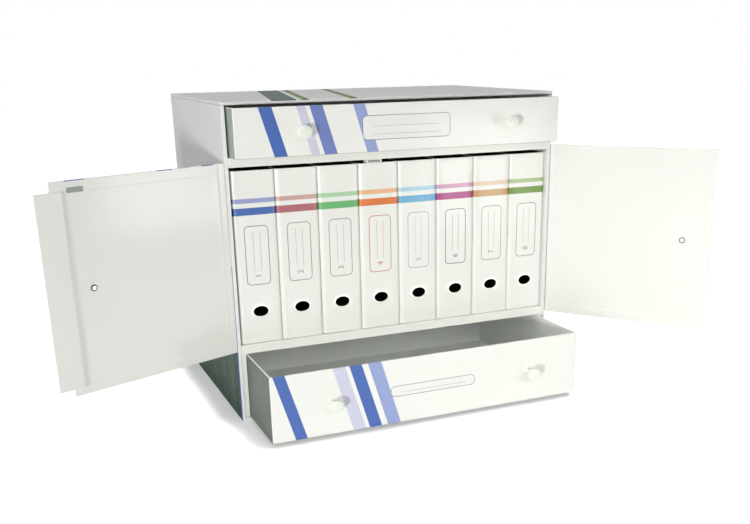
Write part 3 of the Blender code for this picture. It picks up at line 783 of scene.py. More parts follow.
# Height of the side walls' green foot panels, how deep print reaches at a board's face and over
# the left door's top edge, where the left door ends, and the roughness and shine of the papers
FOOT_PANEL_TOP = 0.300
PRINT_DEPTH = 0.0010
DRAWER_PRINT_DEPTH = 0.0026
WALL_PRINT_DEPTH = 0.0005
TOP_PRINT_DEPTH = 0.0012
OVER_EDGE_DEPTH = 0.0016
LEFT_DOOR_END = -0.0005
CASE_GLOSS = 0.45
CASE_SHINE = 0.06
DOOR_GLOSS = 0.14


def stripe_masks(paint, place, papers, direction, outside, stripes, shift=0.0, strength=1.0):
    """Returns straight stripes within the mask of a board's outside, with their colours."""
    across = paint.vector("DOT_PRODUCT", place, direction, "Value")
    masks = []
    for middle, width, colour in stripes:
        mask = paint.both(outside, paint.band(across, middle + shift, width / 2))
        masks.append((mask, np.array(getattr(papers, colour)) * strength))
    return masks


def drawer_print(papers, node, stripes, label_half_height, ruled_lines):
    """Returns the print of a drawer's front: straight slanted stripes and an empty ruled label."""
    low, high = (corner.tolist() for corner in node_box(node))
    middle = (low[2] + high[2]) / 2
    label = (DRAWER_LABEL_HALF_WIDTH, label_half_height, *DRAWER_LABEL_LINE)

    def printed(paint, place):
        x, y, z = paint.parts(place)
        outside = paint.below(y, low[1] + DRAWER_PRINT_DEPTH)
        foot = low[2] * UPRIGHT_ACROSS[2]
        masks = stripe_masks(paint, place, papers, UPRIGHT_ACROSS, outside, stripes, foot)
        outline, inside = paint.label(place, (0.0, 0.0, middle), *label)
        masks.append((paint.both(outside, inside), papers.paper))
        masks.append((paint.both(outside, outline), papers.outline))
        ruled_x = paint.band(x, 0.0, DRAWER_LABEL_HALF_WIDTH * RULED_SHARE, 0.0003)
        for line in ruled_lines:
            ruled = paint.both(ruled_x, paint.band(z, middle + line * label_half_height, 0.0004))
            masks.append((paint.both(paint.both(outside, ruled), 0.6), papers.outline))
        return masks

    return printed


def door_print(papers):
    """Returns the print of the doors' outer faces: straight slanted stripes right across both.

    On the left door it reaches over the top edge on to the inner face's first millimetre.
    """
    hinge = sheet_hinge("left_door_hinge")
    face = float(hinge[0][1])
    top = float(node_box("left_door_panel", hinge)[1][2])

    def printed(paint, place):
        x, y, z = paint.parts(place)
        outer = paint.below(y, face - PRINT_DEPTH)
        over_edge = paint.above(z, top - OVER_EDGE_DEPTH, 0.0003)
        over = paint.both(over_edge, paint.below(x, LEFT_DOOR_END, PRINT_DEPTH))
        outside = paint.calc("MAXIMUM", outer, over)
        return stripe_masks(paint, place, papers, UPRIGHT_ACROSS, outside, DOOR_STRIPES, DOOR_STRIPE_SHIFT)

    return printed


def wall_print(papers, side):
    """Returns the print of a side wall: a green foot with paler upright stripes and a blue margin."""
    low, high = node_box("left_side_wall" if side < 0 else "right_side_wall")
    outer = float(high[0]) if side > 0 else float(-low[0])
    front = float(low[1])
    green = np.array(papers.dark_green) * 0.4
    uprights = (
        (0.062, 0.018, 0.012, green * 1.7),
        (0.125, 0.010, 0.008, green * 1.4),
        (0.002, 0.004, 0.00025, papers.strong_blue),
    )

    def printed(paint, place):
        x, y, z = paint.parts(place)
        outside = paint.above(paint.calc("MULTIPLY", x, side), outer - WALL_PRINT_DEPTH)
        foot = paint.both(outside, paint.below(z, FOOT_PANEL_TOP, 0.0005))
        masks = [(foot, green)]
        for middle, half_width, soft, tint in uprights:
            masks.append((paint.both(foot, paint.band(y, front + middle, half_width, soft)), tint))
        return masks

    return printed


def top_print(papers):
    """Returns the print of the top: straight slanted green stripes."""
    top = float(node_box("top_board")[1][2])

    def printed(paint, place):
        outside = paint.above(paint.parts(place)[2], top - TOP_PRINT_DEPTH)
        return stripe_masks(paint, place, papers, TOP_ACROSS, outside, TOP_STRIPES, strength=0.5)

    return printed


# The case's boards, of which the first three are printed
CASE_BOARDS = ("left_side_wall", "right_side_wall", "top_board", "bottom_board", "back_board", "shelf_board",
               "divider_board", "bay_stop_board", "left_drawer_guide", "right_drawer_guide")


class CABINET_OT_case_boards(bpy.types.Operator):
    """Covers the case's boards with paper"""

    bl_idname = "cabinet.case_boards"
    bl_label = "Case boards"

    def execute(self, context):
        papers, shapes = context.scene.cabinet_papers, context.scene.cabinet_shapes
        plain = paper_material("plain_paper", papers)
        # The guides' near-white paper carries painted light
        guide = paper_material("guide_paper", papers, lambda paint, place: [(1.0, papers.guide)])
        materials = {"left_drawer_guide": guide, "right_drawer_guide": guide}
        prints = (wall_print(papers, -1), wall_print(papers, 1), top_print(papers))
        for node, printed in zip(CASE_BOARDS, prints):
            name = node + "_paper"
            materials[node] = paper_material(name, papers, printed, CASE_GLOSS, CASE_SHINE, "case_paper")
        for node in CASE_BOARDS:
            add_board(node + "_covered", node, "cabinet", materials.get(node, plain), shapes)
        return {"FINISHED"}


# Each drawer: its name, stripes, label's half height, ruled lines in half heights, and its tray's
# gain, painted light on the top tray's outside and painted shade on the bottom tray's
DRAWERS = (
    ("top_drawer", TOP_DRAWER_STRIPES, TOP_LABEL_HALF_HEIGHT, (0.12, -0.55), 2.2),
    ("bottom_drawer", BOTTOM_DRAWER_STRIPES, BOTTOM_LABEL_HALF_HEIGHT, (-0.25,), 0.62),
)


class CABINET_OT_drawers(bpy.types.Operator):
    """Builds both drawers: a printed front and a tray of grey board"""

    bl_idname = "cabinet.drawers"
    bl_label = "Drawers"

    def execute(self, context):
        papers, shapes = context.scene.cabinet_papers, context.scene.cabinet_shapes
        for prefix, stripes, label_half, ruled_lines, tone in DRAWERS:
            node = prefix + "_front"
            printed = drawer_print(papers, node, stripes, label_half, ruled_lines)
            paper = paper_material(prefix + "_paper", papers, printed)
            front = add_board(node + "_covered", node, prefix, paper, shapes)
            for side in ("left", "right"):
                cut_screw_hole(front, node, "%s_%s_knob_screw" % (prefix, side))
            low, high = (corner.tolist() for corner in node_box(prefix + "_left_side"))
            rear = float(node_box(prefix + "_back")[1][1])
            grey = board_material(prefix + "_board", papers, tone, -low[0], low[2], high[2], rear)
            for part in ("left_side", "right_side", "floor", "back"):
                node = "%s_%s" % (prefix, part)
                add_board(node + "_board", node, prefix, grey, shapes, radius=TRAY_EDGE)
        return {"FINISHED"}


def door_relief(low, high, shapes, hinge_x):
    """Returns the relief of a door's inner face: the turned-in cover's rim and a pressed gutter.

    The rim stands up by the turn-in's rise within the turn-in's width of each edge, with a
    smooth step, and the gutter is a shallow bell-shaped groove beside the hinge.
    """
    inner_y = high[1]

    def relief(points):
        x, y, z = points.T
        to_edge = np.minimum(np.minimum(x - low[0], high[0] - x), np.minimum(z - low[2], high[2] - z))
        step = np.clip((shapes.turn_in + 0.001 - to_edge) / 0.002, 0, 1)
        rise = shapes.turn_in_rise * step * step * (3 - 2 * step)
        from_middle = (np.abs(x - hinge_x) - GUTTER_FROM_HINGE) / GUTTER_HALF_WIDTH
        gutter = shapes.gutter_depth * np.exp(-from_middle ** 2)
        on_face = np.clip((y - (inner_y - RELIEF_DEPTH)) / RELIEF_DEPTH, 0, 1)
        moved = points.copy()
        moved[:, 1] += (rise - gutter - shapes.turn_in_rise) * on_face
        return moved

    return relief


def strip_relief(low, slope):
    """Returns the relief of the strip: its thickness rises smoothly from its edge on the door."""

    def relief(points):
        share = np.clip((points[:, 0] - low[0]) / slope, 0, 1)
        share = STRIP_EDGE_SHARE + (1 - STRIP_EDGE_SHARE) * share * share * (3 - 2 * share)
        moved = points.copy()
        moved[:, 1] = low[1] + (points[:, 1] - low[1]) * share
        return moved

    return relief


class CABINET_OT_doors(bpy.types.Operator):
    """Builds both doors' panels and the strip on the left door"""

    bl_idname = "cabinet.doors"
    bl_label = "Doors"

    def execute(self, context):
        papers, shapes = context.scene.cabinet_papers, context.scene.cabinet_shapes
        paper = paper_material("door_paper", papers, door_print(papers), DOOR_GLOSS)
        for prefix, side in (("left_door", -1), ("right_door", 1)):
            hinge = sheet_hinge(prefix + "_hinge")
            low, high = node_box(prefix + "_panel", hinge)
            hinge_x = float(hinge[0][0])
            near = np.array([0.008, 0.0095, 0.011, 0.0125, 0.014, 0.016])
            steps = np.array([-0.001, -0.0006, -0.0003, 0.0, 0.0003, 0.0006, 0.001]) + shapes.turn_in
            x_lines = np.concatenate([hinge_x - side * near, low[0] + steps, high[0] - steps])
            z_lines = np.concatenate([low[2] + steps, high[2] - steps])
            relief = door_relief(low, high, shapes, hinge_x)
            panel = add_board(prefix + "_panel_covered", prefix + "_panel", prefix, paper,
                              shapes, hinge, relief, (x_lines, (), z_lines))
            cut_screw_hole(panel, prefix + "_panel", prefix + "_knob_screw", hinge)
        hinge = sheet_hinge("left_door_hinge")
        strip_paper = paper_material("strip_paper", papers)
        low, high = node_box("left_door_overlap_strip", hinge)
        x_lines = low[0] + shapes.strip_slope * np.linspace(0.05, 1.0, 12)
        add_board("left_door_overlap_strip_covered", "left_door_overlap_strip", "left_door", strip_paper,
                  shapes, hinge, strip_relief(low, shapes.strip_slope), (x_lines, (), ()))
        return {"FINISHED"}


def spline(points, count):
    """Returns a smooth curve through points: each stretch blends two parabolas by the Catmull-Rom formula."""
    points = np.array(points, float)
    ends = np.concatenate([[2 * points[0] - points[1]], points, [2 * points[-1] - points[-2]]])
    share = np.linspace(0, 1, count, endpoint=False)[:, None]
    curve = []
    for index in range(len(points) - 1):
        a, b, c, d = ends[index:index + 4]
        curve.append(0.5 * (2 * b + (c - a) * share + (2 * a - 5 * b + 4 * c - d) * share ** 2
                            + (3 * b - a - 3 * c + d) * share ** 3))
    return np.concatenate(curve + [points[-1:]])


def cloth_material(papers):
    """Fine white book cloth: crossed threads under a thin coat."""
    paint = Paint("hinge_cloth")
    place = paint.object_place()
    x, y, z = paint.parts(place)
    warp, weft = (paint.calc("SINE", paint.both(way, THREADS)) for way in (paint.calc("ADD", x, y), z))
    weave = paint.both(warp, weft)
    white = np.array(papers.paper)
    colour = paint.mix(paint.ramp(weave, -1.0, 1.0), white * 0.88, white * 0.98)
    roughness = paint.speckle(place, 60.0, 3.0, 0.3, 0.7, 0.50, 0.62)
    return paint.finish(colour, roughness, paint.bump(weave, 0.00005))


class CABINET_OT_hinges(bpy.types.Operator):
    """Builds the cloth hinges, which bend between the case and the doors"""

    bl_idname = "cabinet.hinges"
    bl_label = "Cloth hinges"

    def execute(self, context):
        material = cloth_material(context.scene.cabinet_papers)
        for prefix, word, side in (("left_door", "left", -1), ("right_door", "right", 1)):
            hinge = sheet_hinge(prefix + "_hinge")
            axis = hinge[0]
            case_low, case_high = node_box(word + "_case_hinge_cloth")
            door_low, door_high = node_box(prefix + "_hinge_cloth", hinge)
            wall_x = axis[0] + side * CLOTH_LIFT
            near_x = door_low[0] if side < 0 else door_high[0]
            far_x = door_high[0] if side < 0 else door_low[0]
            face_y = (door_low[1] + door_high[1]) / 2
            door = turned(np.array([[near_x, face_y, 0.0], [far_x, face_y, 0.0]]), hinge)[:, :2]
            middle = (np.array([wall_x, case_low[1]]) + door[0]) / 2 - axis[:2]
            fold = axis[:2] + middle / np.linalg.norm(middle) * FOLD_DEPTH
            fold[0] = (fold[0] + 2 * wall_x) / 3
            case_y = (case_high[1], (case_high[1] + case_low[1]) / 2, case_low[1])
            corners = [*((wall_x, y) for y in case_y), fold, door[0], (door[0] + door[1]) / 2, door[1]]
            path = spline(corners, CLOTH_PATH_STEPS)
            z_lines = border_lines(case_low[2], case_high[2], CLOTH_THICKNESS / 2, CLOTH_HEIGHT_STEPS)
            points, faces = folded_sheet(path, CLOTH_THICKNESS, z_lines)
            cloth = add_piece(word + "_hinge_cloth_folded", points, faces, None, material,
                              (word + "_case_hinge_cloth", prefix + "_hinge_cloth"))
            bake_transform(cloth)
        return {"FINISHED"}


def file_boxes():
    """Gives each file's number, its body, and the lowest and highest corners of its cover."""
    for number in FILE_NUMBERS:
        yield (number, "file_%d" % number, *node_box("file_%d_cover" % number))


def cover_path(half_width, depth, board, shapes):
    """Returns the middle line of a file's cover in plan, from one rear edge round to the other.

    A side runs straight to a corner that is a quarter of an ellipse, and beside the corner the
    spine has a narrow bell-shaped crease.
    """
    side_x = half_width - board / 2
    corner_w, corner_d = shapes.file_corner_width, shapes.file_corner_depth
    side_y = border_lines(board / 2 + corner_d, depth, board / 2, 12)[::-1]
    side = np.stack([np.full(len(side_y), -side_x), side_y], axis=1)
    turn = np.linspace(0, math.pi / 2, 10)[1:]
    corner_x = -side_x + corner_w * (1 - np.cos(turn))
    corner = np.stack([corner_x, board / 2 + corner_d * (1 - np.sin(turn))], axis=1)
    spine_x = np.linspace(-side_x + corner_w, 0, 30)[1:]
    crease_x = -side_x + corner_w + CREASE_FROM_CORNER
    spine_y = board / 2 + shapes.file_crease * np.exp(-((spine_x - crease_x) / CREASE_HALF_WIDTH) ** 2)
    spine = np.stack([spine_x, spine_y], axis=1)
    left = np.concatenate([side, corner, spine])
    right = left[:-1][::-1] * (-1, 1)
    return np.concatenate([left, right])


def file_material(number, papers, centre_x, base_z, spine_y):
    """Paper of one file: two level bands right round, an empty label on the spine, and a dark inside painted
    as shade.
    """
    strong, pale, outline_colour = (linear(*colour) for colour in FILE_COLOURS[number - 1])
    label = (SPINE_LABEL_HALF_WIDTH, SPINE_LABEL_HALF_HEIGHT, *SPINE_LABEL_LINE)

    def printed(paint, place):
        x, y, z = paint.parts(place)
        outline = paint.label(place, (centre_x, 0.0, base_z + SPINE_LABEL_CENTRE), *label)[0]
        on_spine = paint.below(y, spine_y + PRINT_DEPTH)
        away = paint.calc("ABSOLUTE", paint.calc("SUBTRACT", x, centre_x))
        within = paint.below(away, SHADE_INSIDE_HALF_WIDTH)
        behind = paint.above(y, spine_y + SHADE_INSIDE_FROM)
        ruled_middle = base_z + SPINE_LABEL_CENTRE + SPINE_RULED_RISE
        ruled_z = paint.band(z, ruled_middle, SPINE_RULED_HALF_LENGTH, 0.0003)
        ruled_x = paint.band(away, SPINE_RULED_AWAY, SPINE_RULED_HALF_WIDTH)
        ruled = paint.both(paint.both(on_spine, paint.both(ruled_z, ruled_x)), 0.8)
        return [
            (ruled, outline_colour),
            (paint.band(z, base_z + STRONG_BAND[0], STRONG_BAND[1]), strong),
            (paint.band(z, base_z + PALE_BAND[0], PALE_BAND[1]), pale),
            (paint.both(on_spine, outline), outline_colour),
            # Painted shade: the inside of the cover is dark
            (paint.both(within, behind), papers.lining),
        ]

    return paper_material("file_%d_paper" % number, papers, printed)


class CABINET_OT_files(bpy.types.Operator):
    """Builds the covers of the eight files"""

    bl_idname = "cabinet.files"
    bl_label = "Files"

    def execute(self, context):
        papers, shapes = context.scene.cabinet_papers, context.scene.cabinet_shapes
        for number, body, low, high in file_boxes():
            node = body + "_cover"
            centre_x = float(low[0] + high[0]) / 2
            path = cover_path((high[0] - low[0]) / 2, high[1] - low[1], FILE_BOARD, shapes)
            z_lines = border_lines(low[2], high[2], FILE_BOARD / 2, COVER_HEIGHT_STEPS)
            points, faces = folded_sheet(path + (centre_x, low[1]), FILE_BOARD, z_lines)
            material = file_material(number, papers, centre_x, float(low[2]), float(low[1]))
            to_rim = np.minimum(points[:, 2] - low[2], high[2] - points[:, 2])
            rim = np.clip(1 - to_rim / COVER_RIM, 0, 1)
            cover = add_piece(node + "_wrapped", points, faces, body, material, (node,),
                              fields={"rim": rim})
            centre = np.array([centre_x, low[1], low[2] + HOLE_CENTRE])
            cut_hole(cover, centre, HOLE_HALF_WIDTH, HOLE_HALF_HEIGHT)
        return {"FINISHED"}


def metal_material(name, tint, roughness, grain, rim_share=0.0):
    """Plated metal: fine drawn grain, faint clouds and small scratches, and a rim darkened as painted shade.
    """
    paint = Paint(name)
    place = paint.object_place()
    lines = paint.noise(paint.vector("MULTIPLY", place, grain), 600.0, 4.0, 0.6)
    cloud = paint.noise(place, 30.0, 3.0)
    tint = np.array(tint)
    colour = paint.mix(cloud, tint * 0.90, np.minimum(tint * 1.05, 1.0))
    # Painted shade: the rim that the field marks goes nearly black
    if rim_share:
        colour = paint.mix(paint.both(paint.field("rim", "Fac"), rim_share), colour, tint * 0.05)
    scratched = paint.calc("ADD", lines, paint.both(cloud, 0.5))
    rough = paint.ramp(scratched, 0.4, 1.1, roughness * 0.8, roughness * 1.4)
    return paint.finish(colour, rough, paint.bump(lines, 0.00002), Metallic=1.0)


class CABINET_OT_finger_rings(bpy.types.Operator):
    """Builds the plated rings in the files' finger holes"""

    bl_idname = "cabinet.finger_rings"
    bl_label = "Finger rings"

    def execute(self, context):
        shapes = context.scene.cabinet_shapes
        material = metal_material("finger_ring_nickel", (0.92, 0.91, 0.82), 0.34, (1.0, 1.0, 1.0))
        flange, rise, board, gap = shapes.ring_flange, shapes.ring_rise, FILE_BOARD, 0.00003
        outline = [
            (-0.0007, board / 2), (-0.0007, -0.0001), (-0.0005, -rise * 0.75), (0.0000, -rise),
            (flange * 0.45, -rise * 0.95), (flange * 0.8, -rise * 0.6), (flange, -gap),
            (flange * 0.6, -gap), (0.0003, -gap), (-0.0003, 0.0002), (-0.0003, board - 0.0002),
            (0.0003, board + gap), (flange * 0.6, board + gap), (flange, board + gap),
            (flange * 0.7, board + rise * 0.8), (0.0000, board + rise), (-0.0006, board + rise * 0.6)]
        away, depth = np.array(outline).T
        angle = np.linspace(0, 2 * math.pi, RING_STEPS, endpoint=False)
        for _, body, low, high in file_boxes():
            x = (HOLE_HALF_WIDTH + away)[:, None] * np.cos(angle) + (low[0] + high[0]) / 2
            z = (HOLE_HALF_HEIGHT + away)[:, None] * np.sin(angle) + low[2] + HOLE_CENTRE
            y = np.broadcast_to(depth[:, None] + low[1], x.shape)
            points = np.stack([x, y, z], axis=2).reshape(-1, 3)
            faces = grid_quads(len(depth), len(angle), wrap_rows=True, wrap_columns=True)
            add_piece(body + "_finger_ring", points, faces, body, material)
        return {"FINISHED"}


class CABINET_OT_numerals(bpy.types.Operator):
    """Prints a plain number on each file's label"""

    bl_idname = "cabinet.numerals"
    bl_label = "Numbers"

    def execute(self, context):
        for number, body, low, high in file_boxes():
            points, faces = self.numeral(number)
            height = low[2] + SPINE_LABEL_CENTRE - NUMBER_BELOW_CENTRE
            centre = ((low[0] + high[0]) / 2, low[1] - 0.00005, height)
            placed = np.stack([-points[:, 1], -points[:, 2], points[:, 0]], axis=1) + centre
            add_piece(body + "_number", placed, faces, body, self.ink(number))
        return {"FINISHED"}

    def ink(self, number):
        """Ink of a file's number, in its label's colour."""
        tint = linear(*FILE_COLOURS[number - 1][2])
        paint = Paint("file_%d_ink" % number)
        return paint.finish(paint.cloudy(paint.object_place(), 700.0, 3.0, np.array(tint) * 0.8, tint), 0.5)

    def numeral(self, number):
        """Returns the closed surface of a number in Blender's own font, as points and faces."""
        curve = bpy.data.curves.new("numeral", "FONT")
        curve.body = str(number)
        curve.size = NUMBER_SIZE
        curve.extrude = 0.00003
        curve.align_x = "CENTER"
        curve.align_y = "CENTER"
        holder = linked("numeral", curve)
        shape = bmesh.new()
        shape.from_mesh(evaluated_mesh(holder))
        bmesh.ops.remove_doubles(shape, verts=shape.verts, dist=0.000001)
        bmesh.ops.recalc_face_normals(shape, faces=shape.faces)
        points = np.array([vert.co for vert in shape.verts])
        faces = [[vert.index for vert in face.verts] for face in shape.faces]
        shape.free()
        bpy.data.objects.remove(holder, do_unlink=True)
        return points, faces


def knob_material():
    """Glossy milky plastic with a green tinge and faint flow marks."""
    return cloudy_material(
        "knob_plastic", linear(230, 237, 224), linear(241, 245, 235), (90.0, 3.0), (300.0, 0.14, 0.24),
        (160.0, 2.0, 0.00004), Subsurface_Weight=0.25, Subsurface_Radius=(0.004, 0.005, 0.003),
        Subsurface_Scale=1.0)


def knob_profile(length):
    """Returns the knob's profile as radius and height, from the middle of its face to its foot.

    The face is a low dome, the rim a half circle, and the neck flares towards the rim as a power
    of the height.
    """
    rim, neck, foot, edge, dome = 0.0110, 0.0048, 0.0056, 0.0016, 0.0008
    flat = rim - edge
    share = np.linspace(0, 1, 9)
    face = np.stack([flat * share, length - dome * share ** 2], axis=1)
    turn = math.pi / 2 - np.linspace(0, math.pi, 13)[1:]
    face_height = length - dome
    lip = np.stack([flat + edge * np.cos(turn), face_height - edge + edge * np.sin(turn)], axis=1)
    share = np.linspace(1, 0, 20)[1:]
    top = face_height - 2 * edge
    flare = np.stack([neck + (flat - neck) * share ** 3.2, 0.003 + (top - 0.003) * share], axis=1)
    base = np.array([(foot - 0.0003, 0.0008), (foot, 0.0004), (foot - 0.0002, 0.0), (0.0, 0.0)])
    return np.concatenate([face, lip, flare, base]).T


def stood_on_face(points, seat):
    """Turns a shape that stands up along Z so that it points out along -Y from its seat."""
    return np.stack([points[:, 0], -points[:, 2], points[:, 1]], axis=1) + seat


def knob_seats():
    """Returns each knob's body, the start of its nodes' names, its hinge and the middle of its seat."""
    owners = [(body, "%s_%s" % (body, side), None) for body in ("top_drawer", "bottom_drawer")
              for side in ("left", "right")]
    owners += [(body, body, sheet_hinge(body + "_hinge")) for body in ("left_door", "right_door")]
    seats = []
    for body, prefix, hinge in owners:
        low, high = node_box(prefix + "_knob", hinge)
        seats.append((body, prefix, hinge, ((low[0] + high[0]) / 2, high[1], (low[2] + high[2]) / 2)))
    return seats


class CABINET_OT_knobs(bpy.types.Operator):
    """Builds the six knobs"""

    bl_idname = "cabinet.knobs"
    bl_label = "Knobs"

    def execute(self, context):
        material = knob_material()
        low, high = node_box("top_drawer_left_knob")
        radii, heights = knob_profile(float(high[1] - low[1]))
        points, faces = turned_surface(radii, heights, KNOB_STEPS, KNOB_BREADTH)
        for body, prefix, hinge, seat in knob_seats():
            node = prefix + "_knob"
            add_piece(node + "_turned", stood_on_face(points, seat), faces, body, material,
                      (node,), hinge)
        return {"FINISHED"}


def screw_surface(board):
    """Returns a pan-head screw with a crossed slot, standing up from its knob's seat.

    On the head the height is a dome less a slot, which is deep where the place is near either
    of two crossed lines and within the slot's reach of the middle.
    """
    head, head_height, shank, depth = 0.0055, 0.0022, 0.0020, 0.012
    face = -(0.0006 + board)
    end = face - head_height
    steps = 96
    angle = np.linspace(0, 2 * math.pi, steps, endpoint=False)
    share = np.linspace(0, 1, 26)[1:]
    radius = share * head * 0.94
    dome = head_height * 0.42 * share ** 3
    x, y = radius[:, None] * np.cos(angle), radius[:, None] * np.sin(angle)
    narrow = np.minimum(np.abs(x), np.abs(y))
    slot = np.clip((0.0007 - narrow) / 0.0003, 0, 1) * np.clip((0.0030 - radius[:, None]) / 0.0005, 0, 1)
    top = end + dome[:, None] + slot * 0.0011
    outer = [(head * 0.985, end + head_height * 0.52), (head, end + head_height * 0.66),
             (head, face - 0.0001), (head * 0.98, face), (shank, face), (shank, depth - 0.0005),
             (shank * 0.7, depth)]
    rings = [np.stack([x, y, top], axis=2)]
    for ring_radius, height in outer:
        ring = (ring_radius * np.cos(angle), ring_radius * np.sin(angle), np.full(steps, height))
        rings.append(np.stack(ring, axis=1)[None])
    rings = np.concatenate(rings)
    poles = np.array([[0.0, 0.0, end + 0.0011], [0.0, 0.0, depth]])
    return np.concatenate([rings.reshape(-1, 3), poles]), ring_faces(len(rings), steps)


class CABINET_OT_screws(bpy.types.Operator):
    """Builds the knobs' screws"""

    bl_idname = "cabinet.screws"
    bl_label = "Screws"

    def execute(self, context):
        # The screws' heads get a nearly black rim, painted shade
        material = metal_material("screw_zinc", (0.86, 0.87, 0.88), 0.24, (1.0, 1.0, 1.0), 0.95)
        points, faces = screw_surface(FRONT_BOARD)
        rim = np.clip((np.hypot(points[:, 0], points[:, 1]) - 0.0031) / 0.0008, 0, 1)
        for body, prefix, hinge, seat in knob_seats():
            node = prefix + "_knob_screw"
            add_piece(node + "_headed", stood_on_face(points, seat), faces, body, material, (node,),
                      hinge, {"rim": rim})
        return {"FINISHED"}


class CABINET_OT_catch(bpy.types.Operator):
    """Builds the strike plate and gives the magnetic catch its plastic and magnet"""

    bl_idname = "cabinet.catch"
    bl_label = "Catch"

    def execute(self, context):
        shapes = context.scene.cabinet_shapes
        hinge = sheet_hinge("left_door_hinge")
        steel = metal_material("strike_steel", (0.24, 0.27, 0.23), 0.5, (0.3, 1.0, 1.0))
        add_board("strike_plate_pressed", "left_door_strike_plate", "left_door", steel, shapes,
                  hinge, radius=STRIKE_EDGE)
        dress("catch_housing", cloudy_material(
            "catch_plastic", linear(228, 229, 224), linear(240, 240, 236), (60.0, 3.0), (500.0, 0.38, 0.5),
            (900.0, 2.0, 0.00002)))
        dress("catch_magnet", cloudy_material(
            "magnet_ferrite", linear(128, 129, 131), linear(146, 147, 149), (400.0, 4.0), (300.0, 0.5, 0.7),
            (1500.0, 3.0, 0.00003)))
        return {"FINISHED"}


class CABINET_OT_mechanisms(bpy.types.Operator):
    """Gives the files' mechanisms their plated steel"""

    bl_idname = "cabinet.mechanisms"
    bl_label = "Mechanisms"

    def execute(self, context):
        steel = metal_material("mechanism_steel", (0.72, 0.73, 0.74), 0.20, (1.0, 1.0, 0.2))
        for number in FILE_NUMBERS:
            dress("file_%d_mechanism" % number, steel)
        return {"FINISHED"}


# Lamps: name of each one's power, its place, the place it shines at, width, height and spread in degrees
LAMPS = (
    ("key_lamp", (-2.3, -3.1, 0.31), (0.0, -0.25, 0.3), 0.27, 0.27, 180),
    ("near_lamp", (0.60, -1.05, 0.33), (0.0, -0.3, 0.2), 0.34, 0.34, 180),
    ("side_lamp", (-2.6, -0.9, 0.9), (0.0, 0.0, 0.3), 1.6, 1.2, 180),
    ("front_lamp", (0.0, -3.2, 1.4), (0.1, -0.3, -0.1), 1.0, 0.8, 40),
    ("top_lamp", (0.0, -0.4, 3.0), (0.0, 0.0, 0.3), 2.0, 2.0, 180),
    ("back_lamp", (2.5, 2.1, 0.32), (0.0, 0.0, 0.3), 2.4, 0.5, 180),
)


def add_lamp(name, place, target, width, height, spread, power):
    """Adds a soft rectangular lamp, whose light is brightest straight ahead and ends at its spread."""
    light = bpy.data.lights.new(name, "AREA")
    light.shape = "RECTANGLE"
    light.size = width
    light.size_y = height
    light.spread = math.radians(spread)
    light.energy = power
    lamp = linked(name, light)
    lamp.location = place
    lamp.rotation_mode = "QUATERNION"
    lamp.rotation_quaternion = (Vector(target) - lamp.location).to_track_quat("-Z", "Y")


def bare_nodes(owner):
    """Returns the emptied node tree of a material or the world."""
    owner.use_nodes = True
    owner.node_tree.nodes.clear()
    return Nodes(owner.node_tree)


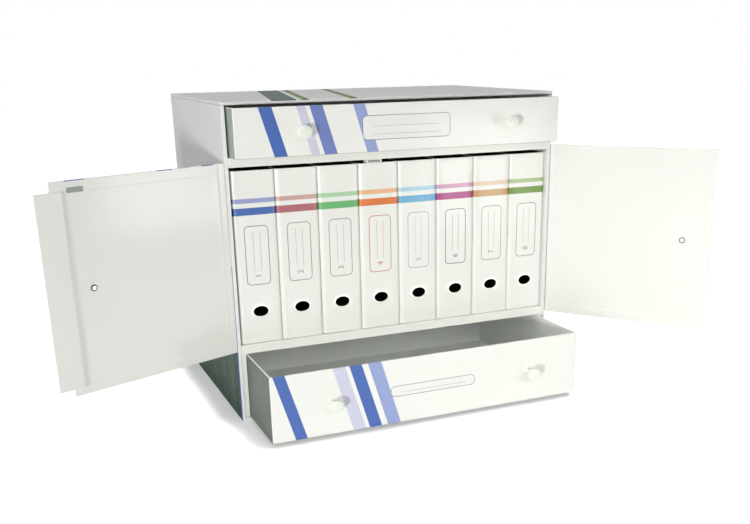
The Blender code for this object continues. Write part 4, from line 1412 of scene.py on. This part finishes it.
class CABINET_OT_stage(bpy.types.Operator):
    """Sets up the floor, the lamps, the room and the camera"""

    bl_idname = "cabinet.stage"
    bl_label = "Stage"

    def execute(self, context):
        stage = context.scene.cabinet_stage
        self.add_floor(stage)
        self.set_room(context.scene, stage)
        for name, *settings in LAMPS:
            add_lamp(name, *settings, getattr(stage, name))
        self.add_camera(context.scene, stage)
        context.scene.view_settings.view_transform = "Standard"
        return {"FINISHED"}

    def add_floor(self, stage):
        """Lays a large pale floor that keeps the shadow and is lifted to white for the camera.

        Close to the cabinet's foot, where the floor is hemmed in, the lift is smaller, and more so
        on its left, as the room that counts leans to the right; this is a painted shadow.
        """
        material = bpy.data.materials.new("pale_floor")
        nodes = bare_nodes(material)
        lean = nodes.add("ShaderNodeCombineXYZ", FLOOR_LEAN)
        open_share = nodes.add("ShaderNodeAmbientOcclusion", (WHITE, stage.shade_reach, lean), "AO")
        lift = stage.floor_lift
        # Painted shadow: less glow where the floor is hemmed in
        shade = nodes.ramp(open_share, *SHADE_RANGE, lift * stage.floor_shade, lift)
        strength = nodes.both(nodes.seen(), shade)
        matt = nodes.add("ShaderNodeBsdfDiffuse", (FLOOR_GREY,))
        glow = nodes.add("ShaderNodeEmission", (WHITE, strength))
        nodes.add("ShaderNodeOutputMaterial", (nodes.add("ShaderNodeAddShader", (matt, glow)),))
        mesh = bpy.data.meshes.new("floor")
        corners = [(x * FLOOR_HALF, y * FLOOR_HALF, FLOOR_Z) for x, y in ((-1, -1), (1, -1), (1, 1), (-1, 1))]
        mesh.from_pydata(corners, [], [(0, 1, 2, 3)])
        mesh.materials.append(material)
        linked("floor", mesh)

    def set_room(self, scene, stage):
        """Lights the room evenly, and shows it white to the camera."""
        scene.world = bpy.data.worlds.new("room")
        nodes = bare_nodes(scene.world)
        even = nodes.add("ShaderNodeBackground", (ROOM_TINT, stage.room_light))
        white = nodes.add("ShaderNodeBackground", (WHITE, 1.0))
        nodes.add("ShaderNodeOutputWorld", (nodes.add("ShaderNodeMixShader", (nodes.seen(), even, white)),))

    def add_camera(self, scene, stage):
        """Places the camera at the photograph's angle, turned by its heading, tilt and roll."""
        data = bpy.data.cameras.new("camera")
        data.sensor_width = SENSOR_WIDTH
        data.lens = FOCAL_PIXELS * SENSOR_WIDTH / PHOTO_WIDTH
        data.shift_x = (PHOTO_WIDTH / 2 - VIEW_CENTRE_X) / PHOTO_WIDTH
        data.shift_y = (VIEW_CENTRE_Y - PHOTO_HEIGHT / 2) / PHOTO_WIDTH
        camera = linked("camera", data)
        turns = ((-stage.heading, "Z"), (math.pi / 2 - stage.tilt, "X"), (-stage.roll, "Z"))
        matrix = Matrix.Translation(stage.camera_place)
        for angle, axis in turns:
            matrix = matrix @ Matrix.Rotation(angle, 4, axis)
        camera.matrix_world = matrix
        scene.camera = camera


class CABINET_PT_panel(bpy.types.Panel):
    """Lists the steps that build the cabinet"""

    bl_idname = "CABINET_PT_panel"
    bl_label = "Covered Board Cabinet"
    bl_space_type = "VIEW_3D"
    bl_region_type = "UI"
    bl_category = "Cabinet"

    def draw(self, context):
        for step in STEPS:
            self.layout.operator(step.bl_idname)
        for group, kind in GROUPS:
            box = self.layout.box()
            for name in kind.__annotations__:
                box.prop(getattr(context.scene, group), name)


STEPS = (
    CABINET_OT_case_boards,
    CABINET_OT_drawers,
    CABINET_OT_doors,
    CABINET_OT_hinges,
    CABINET_OT_files,
    CABINET_OT_finger_rings,
    CABINET_OT_numerals,
    CABINET_OT_knobs,
    CABINET_OT_screws,
    CABINET_OT_catch,
    CABINET_OT_mechanisms,
    CABINET_OT_stage,
)
GROUPS = (
    ("cabinet_papers", CabinetPapers),
    ("cabinet_shapes", CabinetShapes),
    ("cabinet_stage", CabinetStage),
)


def register():
    """Registers the settings, the steps and the panel."""
    for name, group in GROUPS:
        bpy.utils.register_class(group)
        setattr(bpy.types.Scene, name, bpy.props.PointerProperty(type=group))
    for item in STEPS + (CABINET_PT_panel,):
        bpy.utils.register_class(item)


def unregister():
    """Removes what register added."""
    for item in reversed(STEPS + (CABINET_PT_panel,)):
        bpy.utils.unregister_class(item)
    for name, group in reversed(GROUPS):
        delattr(bpy.types.Scene, name)
        bpy.utils.unregister_class(group)


def main():
    """Builds the cabinet."""
    register()
    for step in STEPS:
        family, word = step.bl_idname.split(".")
        getattr(getattr(bpy.ops, family), word)()


if __name__ == "__main__":
    main()
